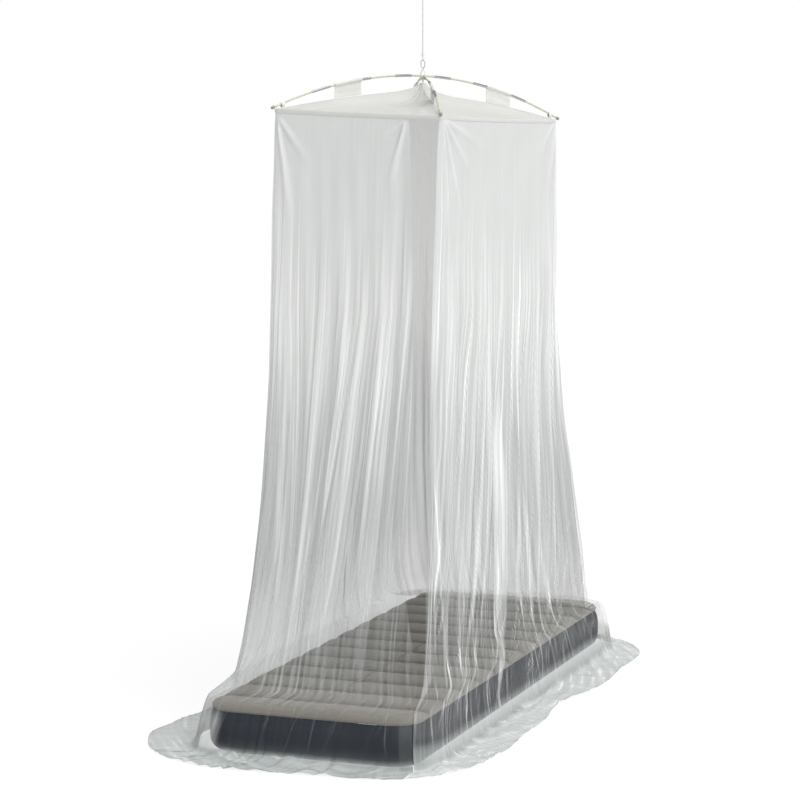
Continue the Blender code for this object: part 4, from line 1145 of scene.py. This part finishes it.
def make_poles():
    """Rod sections that end in steel ferrules, with a rubber cap at each tip."""
    reach = FRAME_REACH - POLE_END_INSET
    half = FERRULE_LENGTH / 2
    for pole in POLE_CORNERS:
        start = -reach
        for i, place in enumerate((*FERRULE_PLACES, reach + half + GAP)):
            sizes = (start, place - half - GAP, POLE_RADIUS, ROD_NOSE, ROD_NOSE, 0.012)
            pole_piece(f"pole_{pole}_rod_{i + 1}", "_tube", pole, "fibreglass", *sizes)
            start = place + half + GAP
        for i, place in enumerate(FERRULE_PLACES):
            sizes = (place - half, place + half, FERRULE_RADIUS, ROD_NOSE, ROD_NOSE, 0.0009)
            node = f"pole_{pole}_ferrule_{i + 1}"
            pole_piece(node, "_crimped", pole, "steel", *sizes, shaped=crimped)
        inner, outer = reach + GAP, reach + GAP + CAP_LENGTH
        for ends, noses in (((-outer, -inner), CAP_NOSES), ((inner, outer), CAP_NOSES[::-1])):
            node = f"pole_{pole}_cap_{pole_end(pole, ends[0])}"
            sizes = (*ends, CAP_RADIUS, *noses, 0.001)
            pole_piece(node, "_tip", pole, "dark_rubber", *sizes)


# ------------------------------------------------------------------ roof, binding, tabs
def eave_line(steps):
    """The eave's loop, steps to a side: level points, running lengths, shares of the side."""
    loop = Loop(0)
    part = np.arange(steps) / steps
    sides = zip(loop.corners, loop.corners[1:])
    s = np.concatenate([between(a, b, part) for a, b in sides])
    return loop.at(s), s, np.tile(part, len(CORNER_HEIGHTS))


def make_roof():
    edge, _, part = eave_line(ROOF_STEPS)
    hip = np.abs(2 * part - 1) ** HIP_SHARPNESS
    corner = np.minimum(part, 1 - part)
    rows = [i + k / parts for i, parts in enumerate(ROOF_ROWS) for k in range(parts)]
    points, sewn = [], []
    for row in [*rows, len(ROOF_ROWS)]:
        fraction, on_hip, off_hip = (through(column, row) for column in zip(*ROOF_RINGS))
        level = edge * fraction
        height = between(eave_height(*edge.T), PEAK_HEIGHT, between(off_hip, on_hip, hip))
        x, y = level.T
        around = np.arctan2(y, x * 2)
        drawn_up = ripple(around * 1.6, fraction * 0.5, 1.0, 61) * 0.0028
        drawn_up = drawn_up * bell((fraction - 0.12) / 0.42)
        from_corner = ripple(corner * 14, fraction * 1.2, 1.0, 62) * 0.0035
        from_corner = from_corner * bell((fraction - 0.95) / 0.35) * bell(corner / 0.5)
        soft = ripple(x, y, 0.16, 63) * 0.0028
        loose = ease((1 - fraction) / 0.10) * ease((0.96 - hip) / 0.5)
        points.append(np.column_stack([level, height + loose * (drawn_up + from_corner + soft)]))
        sewn.append(np.full(len(edge), float(0.986 < fraction < 0.994)))
    points = np.array(points)
    plan = np.concatenate([points, points[:, :1]], axis=1)[..., :2]
    look = {"sewn": np.array(sewn)}
    finish = "roof_cloth"
    roof = grid_piece("roof_panel_cloth", points, finish, plan, look, closed=True, filled=True)
    fitted(roof, "roof_cloth", "roof_panel")


def make_binding():
    """The tape folded over the seam of roof and walls, sewn through near its lower edge."""
    level, s, _ = eave_line(BINDING_STEPS)
    outward = Loop(0).outward(s)
    rows, sewn = [], []
    for k in range(BINDING_ROWS + 1):
        share = k / BINDING_ROWS
        drop = between(-CLOTH / 2, BINDING_HEIGHT, share)
        rounded = 0.00045 * (bell(share / 0.16) + bell((1 - share) / 0.12))
        pinched = 0.00030 * bell((share - STITCH_PLACE) / 0.14)
        pucker = ripple(s * 6, np.full_like(s, share), 0.10, 71) * 0.00016
        reach = CLOTH + GAP - rounded - pinched + pucker
        around = level + outward * reach[:, None]
        rows.append(np.column_stack([around, eave_height(*level.T) - drop]))
        sewn.append(np.full(len(s), float(abs(share - STITCH_PLACE) < 0.6 / BINDING_ROWS)))
    points, look = np.array(rows), {"sewn": np.array(sewn)}
    uv = cloth_uv(points, True)
    # Its finish is the tape painted darker, as painted shade.
    tape = grid_piece("eave_binding_tape", points, "shaded_binding_tape", uv, look, closed=True)
    fitted(tape, "tape", "eave_binding")


def hip_height(pole, along):
    """The roof's top surface under a pole."""
    edge, _, part = eave_line(ROOF_STEPS)
    corners = edge[part == 0]
    rows = np.linspace(len(ROOF_ROWS), 0, 200)
    rings = np.array([[through(column, row) for column in zip(*ROOF_RINGS)] for row in rows])
    level = diagonal(pole)[:2] * along[:, None]
    nearest = np.array([corners[np.argmax(corners @ point)] for point in level])
    fraction = np.abs(along) / np.linalg.norm(nearest, axis=1)
    risen = np.interp(fraction, rings[:, 0], rings[:, 1])
    return between(eave_height(*nearest.T), PEAK_HEIGHT, risen) + CLOTH / 2


def over_poles(places, width, steps, section, closed=False):
    """Bands across both poles at their places. section gives a band's points across its pole.

    It is called with the band's place, the place along the pole, and the roof's and the pole's
    heights there. Yields each pole, place and node ending, with the band's points."""
    for pole in POLE_CORNERS:
        way = diagonal(pole)
        across = np.array([-way[1], way[0], 0.0])
        for place in places:
            along = place + width * (np.arange(steps + 1) / steps - 0.5)
            centres = pole_line(pole, along)
            points = []
            for centre, where, roof in zip(centres, along, hip_height(pole, along)):
                x, z = section(place, where, roof, centre[2])
                points.append(centre + across * x[:, None] + UP * z[:, None])
            points = np.array(points)
            uv = cloth_uv(points, closed)
            sewn = np.zeros(points.shape[:2])
            yield pole, place, f"{pole}_{pole_end(pole, place)}", points, uv, sewn


def tab_section(_, where, roof, line):
    leg = (CLOTH + TAB_LEG_GAP) / 2
    turn = np.radians(TAB_WRAP * (np.arange(25) / 24 - 0.5))
    foot = roof + GAP + TAB_CLEAR - line
    down = np.linspace(foot, -TAB_NECK, 13)
    middle, half = (foot - TAB_NECK) / 2, 0.55 * (-TAB_NECK - foot) + 1e-6
    slack = ripple(where * 9 + down * 30, down * 12, 1.0, 81) * 0.0016
    slack = slack * bell((down - middle) / half)
    ring = TAB_SLEEVE_RADIUS * (1 + 0.03 * math.sin(where * 260))
    x = np.concatenate([slack - leg, ring * np.sin(turn), (slack + leg)[::-1]])
    return x, np.concatenate([down, ring * np.cos(turn), down[::-1]])


def make_tabs():
    """Folded tabs: a sleeve over the pole whose two legs come down to the roof's hip."""
    bands = over_poles(TAB_PLACES, TAB_WIDTH, 44, tab_section)
    for pole, place, end, points, uv, sewn in bands:
        sewn[:, [1, -2, 11, -12]] = 1.0
        node = "pole_tab_" + end
        tab = grid_piece(node + "_cloth", points, "tab_cloth", uv[..., ::-1], {"sewn": sewn})
        fitted(tab, "tape", node)


def corner_loop_section(place, where, roof, line):
    radius = POLE_RADIUS + 2 * GAP + CLOTH / 2
    turn = np.linspace(0, math.pi, 15)
    low = roof + GAP + CLOTH / 2 + radius - line
    ring = radius + 0.0002 * bell((where - place) / (0.6 * CORNER_LOOP_WIDTH))
    x, z = ring * np.cos(turn), ring * np.sin(turn)
    return np.concatenate([x, -x]), np.concatenate([z, low - z])


def make_corner_loops():
    """Closed tape bands, sewn to the roof near its corners, that the poles run through."""
    places = (-CORNER_LOOP_PLACE, CORNER_LOOP_PLACE)
    bands = over_poles(places, CORNER_LOOP_WIDTH, 8, corner_loop_section, closed=True)
    for _, _, end, points, uv, sewn in bands:
        sewn[[1, -2]] = 1.0
        node = "corner_loop_" + end
        band = grid_piece(node + "_band", points, "tape", uv, {"sewn": sewn}, closed=True)
        fitted(band, "tape", node)


# ------------------------------------------------------------------ what it hangs from
def racetrack(half_width, bottom, top):
    """An upright racetrack in the plane of X: two half circles and straight sides."""
    turn = np.linspace(0, math.pi, 24)
    x, z = half_width * np.cos(turn), half_width * np.sin(turn)
    z = np.concatenate([top - half_width + z, bottom + half_width - z])
    return np.column_stack([np.concatenate([x, -x]), np.zeros_like(z), z])


def teardrop(bottom, top, wide, narrow, wide_is_low):
    """A loop in the plane of Y, wide at one end and narrow at the other."""
    low, high = (wide, narrow) if wide_is_low else (narrow, wide)
    turn = np.linspace(0, math.pi, 16)
    side = np.linspace(0, 1, 9)[1:-1, None]
    over = np.column_stack([high * np.cos(turn), top - high + high * np.sin(turn)])
    under = np.column_stack([-low * np.cos(turn), bottom + low - low * np.sin(turn)])
    runs = between(over[-1], under[0], side), between(under[-1], over[0], side)
    y, z = np.concatenate([over, runs[0], under, runs[1]]).T
    return np.column_stack([np.zeros_like(y), y, z])


def hanging_loop_path(bottom, top):
    """Broad across the poles' crossing, then a quarter turn to go through the ring."""
    _, y, z = teardrop(bottom, top, LOOP_WIDE, LOOP_NARROW, True).T
    angle = math.pi / 2 * rise(z, LOOP_TURN_START, LOOP_TURN_END)
    return np.column_stack([y * np.cos(angle), y * np.sin(angle), z])


def plaited(along, radius, sides, pitch, depth):
    """Radii of a plaited cord: strands that wind round it both ways."""
    turn = 4 * np.arange(sides) * 2 * math.pi / sides
    wound = 2 * math.pi * along[:, None] / pitch
    strands = np.maximum(np.cos(turn + wound), np.cos(turn - wound))
    return radius * (1 + depth * (strands - 0.4))


def make_cord():
    start, end = LOWER_KNOT + KNOT_HALF + GAP, UPPER_KNOT - KNOT_HALF - GAP
    z = np.linspace(start, end, 360)
    path, radii = upright(z), plaited(z, CORD_RADIUS, 32, 0.009, 0.06)
    cord = bar("hanging_cord_plait", path, radii, "cord", sides=32)
    fitted(cord, "cord", "hanging_cord")
    return cord, path + (0, 0, FLOOR)


def make_eye(node, far, knot, up):
    """A knot with the small loop that it closes: the loop's far end is at height far."""
    bottom, top = sorted((far, knot))
    eye_path = teardrop(bottom, top, EYE_WIDE, EYE_NARROW, wide_is_low=up > 0)
    eye = bar(node + "_knot", eye_path, EYE_RADIUS, "cord", cyclic=True)
    turn = np.linspace(0, KNOT_TURNS * 2 * math.pi, 120)
    tuck = 1 - 0.55 * (bell(turn / 1.4) + bell((turn[-1] - turn) / 1.4))
    wide = (KNOT_RADIUS - KNOT_STRAND) * tuck
    height = knot + up * np.linspace(-1, 1, len(turn)) * (KNOT_HALF - KNOT_STRAND)
    winding = np.column_stack([wide * np.cos(turn), wide * np.sin(turn), height])
    turns = bar(node + "_turns", winding, KNOT_STRAND, "cord", sides=14)
    along, radii = stations(-KNOT_HALF, KNOT_HALF, KNOT_RADIUS - 0.0013, 0.0040, 0.0040, 0.0005)
    core = bar(node + "_core", upright(along) + (0, 0, knot), radii, "cord")
    return fitted(merged(eye, turns, core), "cord", node)


def merged(main, *others):
    """One mesh from several, which keeps the first one's name."""
    shape = bmesh.new()
    for obj in (main, *others):
        shape.from_mesh(obj.data)
    for obj in others:
        bpy.data.objects.remove(obj, do_unlink=True)
    shape.to_mesh(main.data)
    shape.free()
    return main


def make_hook():
    """A bent wire whose shank stands in a round plate with a cast, slightly domed edge."""
    top = -FLOOR
    centre = HOOK_BOTTOM + HOOK_BEND
    shank_foot = centre + HOOK_BEND + HOOK_SHANK
    sizes = (top - PLATE_THICKNESS, top, PLATE_RADIUS, 0.0012, 0.0004, 0.0008)
    along, radii = stations(*sizes)
    radii = PLATE_RADIUS - (PLATE_RADIUS - radii) * 0.10
    plate = bar("ceiling_hook_cast", upright(along), radii, "steel", sides=64)
    angle = np.radians(HOOK_START + HOOK_SWEEP * np.linspace(0, 1, 40))
    x, z = HOOK_BEND * np.cos(angle), centre + HOOK_BEND * np.sin(angle)
    shank = upright(between(top - PLATE_THICKNESS / 2, shank_foot, np.arange(7) / 6))
    neck = [(-0.0006, 0, shank_foot - 0.0015), (-0.0012, 0, shank_foot - 0.004)]
    path = np.concatenate([shank, neck, np.column_stack([x, x * 0, z])])
    radii = np.full(len(path), HOOK_WIRE)
    radii[-len(HOOK_TIP) :] *= HOOK_TIP
    wire = bar("hook_wire", path, radii, "steel", sides=20)
    fitted(merged(plate, wire), "steel", "ceiling_hook")


def make_suspension():
    crossing_under = CROSSING_HEIGHT - 2 * POLE_RADIUS - GAP - POLE_RADIUS
    loop_bottom = crossing_under - GAP - LOOP_SLACK - LOOP_RADIUS
    loop_top = RING_BOTTOM + RING_WIRE + GAP + LOOP_RADIUS
    loop_path = hanging_loop_path(loop_bottom, loop_top)
    loop = bar("hanging_loop_tape", loop_path, LOOP_RADIUS, "tape", cyclic=True)
    fitted(loop, "tape", "hanging_loop")
    tie_top = loop_bottom - LOOP_RADIUS - GAP
    tie_bottom = PEAK_HEIGHT + CLOTH / 2 + GAP
    widths = np.linspace(-TIE_HALF_WIDTH, TIE_HALF_WIDTH, 7)
    x, z = np.meshgrid(widths, np.linspace(tie_bottom, tie_top, 7))
    strip = np.stack([x, 0.0002 * np.sin(x * 1500), z], axis=-1)
    tie = grid_piece("peak_tie_strip", strip, "tape", cloth_uv(strip), {"sewn": 0.0})
    fitted(tie, "tape", "peak_tie")
    ring_path = racetrack(RING_HALF_WIDTH, RING_BOTTOM, RING_TOP)
    ring = bar("steel_ring_link", ring_path, RING_WIRE, "steel", cyclic=True)
    fitted(ring, "steel", "steel_ring")
    make_eye("cord_lower_eye", RING_TOP - RING_WIRE - GAP - EYE_RADIUS, LOWER_KNOT, 1)
    upper_far = HOOK_BOTTOM + HOOK_WIRE + GAP + EYE_RADIUS
    upper = make_eye("cord_upper_eye", upper_far, UPPER_KNOT, -1)
    cord, path = make_cord()
    tuple(path[0])
    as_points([tuple(p) for p in path[::12]] + [tuple(path[-1])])
    make_hook()


# ------------------------------------------------------------------ mattress
def mattress_outline(inset, steps_long, steps_short, steps_corner):
    """A rounded rectangle, anticlockwise from the near end of its right side."""
    half_x, half_y = MATTRESS_HALF_WIDTH - inset, MATTRESS_HALF_LENGTH - inset
    radius = min(max(0.012, MATTRESS_CORNER - inset), half_x)
    signs = ((1, -1), (1, 1), (-1, 1), (-1, -1))
    middles = [Vector((x * (half_x - radius), y * (half_y - radius))) for x, y in signs]
    outline = []
    for i, middle in enumerate(middles):
        for k in range(steps_corner + 1):
            edge = radius * direction(90 * (i - 1 + k / steps_corner))
            outline.append(middle + edge)
        edge = radius * direction(90 * i)
        steps = steps_long if i % 2 == 0 else steps_short
        for k in range(1, steps):
            outline.append(middle.lerp(middles[(i + 1) % 4], k / steps) + edge)
    return np.array(outline)


def direction(degrees):
    angle = math.radians(degrees)
    return Vector((math.cos(angle), math.sin(angle)))


def channel_dip(y):
    """0 on a channel's crown, 1 in the seam between two channels."""
    pitch = 2 * MATTRESS_HALF_LENGTH / CHANNELS
    phase = (y + MATTRESS_HALF_LENGTH) / pitch
    return 1 - np.abs(np.sin(np.pi * phase)) ** 0.6


def section_rings(sections, steps, **counts):
    """Loops of points through the sections, with each one's third value if there is one."""
    rings, shares = [], []
    rows = [i + k / parts for i, parts in enumerate(steps) for k in range(parts)]
    for row in [*rows, float(len(steps))]:
        inset, height, *share = (through(column, row) for column in zip(*sections))
        outline = mattress_outline(inset, **counts)
        rings.append(np.column_stack([outline, np.full(len(outline), height)]))
        shares.append(share)
    return np.array(rings), np.array(shares)


def make_mattress():
    counts = {"steps_long": 16 * CHANNELS, "steps_short": 70, "steps_corner": 18}
    rings, share = section_rings(TOP_SECTIONS, TOP_STEPS, **counts)
    x, y = rings[..., 0], rings[..., 1]
    dip = channel_dip(y)
    puckers = ripple(x * 2.2, y, 0.045, 3) * 0.0014 * (0.4 + dip) + ripple(x, y, 0.12, 4) * 0.0010
    rings[..., 2] += -CHANNEL_DEPTH * share * dip + (puckers - 0.0022) * share
    rings[..., 0] += MATTRESS_SHIFT
    # The dip attribute darkens the flock's colour, painted shade in the channels' seams.
    look = {"dip": np.clip(dip**1.6 * 1.15, 0, 1) * share}
    finish = "flocked_top"
    top = grid_piece("mattress_flocked_top", rings, finish, None, look, closed=True, filled=True)
    fitted(top, "flocked_top", "mattress_top")
    counts = {"steps_long": 220, "steps_short": 80, "steps_corner": 24}
    rings, _ = section_rings(BASE_SECTIONS, BASE_STEPS, **counts)
    x, y, z = rings[..., 0], rings[..., 1], rings[..., 2]
    bulge = bell((z - 0.06) / 0.06)
    sag = ripple(x + y, z * 2.5, 0.22, 8) * 0.0022 * bulge - 0.002 * bulge
    rings[..., :2] *= 1 + sag[..., None] / np.hypot(x, y)[..., None]
    rings[..., 0] += MATTRESS_SHIFT
    base = grid_piece("mattress_navy_base", rings, "navy_side", closed=True)
    fitted(base, "navy_side", "mattress_base")


# ------------------------------------------------------------------ camera, room, light
def placed(name, data, location=(0, 0, 0), turned=(0, 0, 0)):
    obj = bpy.data.objects.new(name, data)
    obj.location, obj.rotation_euler = location, turned
    bpy.context.scene.collection.objects.link(obj)
    return obj


def make_camera():
    data = bpy.data.cameras.new("camera")
    data.lens, data.sensor_width, data.clip_end = CAMERA_LENS, 36.0, 100
    turned = (math.radians(CAMERA_TILT), 0, math.radians(CAMERA_TURN))
    bpy.context.scene.camera = placed("camera", data, CAMERA_PLACE, turned)


def make_studio():
    """A white room, a pale floor that glows almost as white, and two wide suns."""
    scene = bpy.context.scene
    scene.view_settings.view_transform = "Standard"
    scene.cycles.transparent_max_bounces = 32
    scene.world = bpy.data.worlds.new("studio")
    scene.world.use_nodes = True
    tree = scene.world.node_tree
    room = tree.nodes["Background"]
    seen = tree.nodes.new("ShaderNodeLightPath")
    strength = tree.nodes.new("ShaderNodeMapRange")
    strength.inputs["To Min"].default_value = ROOM_LIGHT
    strength.inputs["To Max"].default_value = 1.0
    tree.links.new(seen.outputs["Is Camera Ray"], strength.inputs["Value"])
    tree.links.new(strength.outputs[0], room.inputs["Strength"])
    room.inputs["Color"].default_value = opaque(WHITE)
    floor = bpy.data.meshes.new("studio_floor")
    signs = ((-1, -1), (1, -1), (1, 1), (-1, 1))
    corners = [(x * FLOOR_REACH, y * FLOOR_REACH, FLOOR - GAP) for x, y in signs]
    floor.from_pydata(corners, [], [(0, 1, 2, 3)])
    values = {"Emission_Color": opaque(WHITE), "Emission_Strength": 0.81}
    Shader("studio_paper", 0.95, **values).colour((0.16, 0.16, 0.16))
    floor.materials.append(MATERIALS["studio_paper"])
    floor = placed("studio_floor", floor)
    for name, towards, share, spread in SUNS:
        data = bpy.data.lights.new(name, "SUN")
        data.energy, data.angle = math.pi * share, math.radians(spread)
        placed(name, data, turned=Vector(towards).to_track_quat("Z", "Y").to_euler())


make_materials()
make_camera()
make_suspension()
for wall in PANELS:
    Wall(wall).build()
make_binding()
make_roof()
make_poles()
make_tabs()
make_corner_loops()
make_mattress()
make_studio()
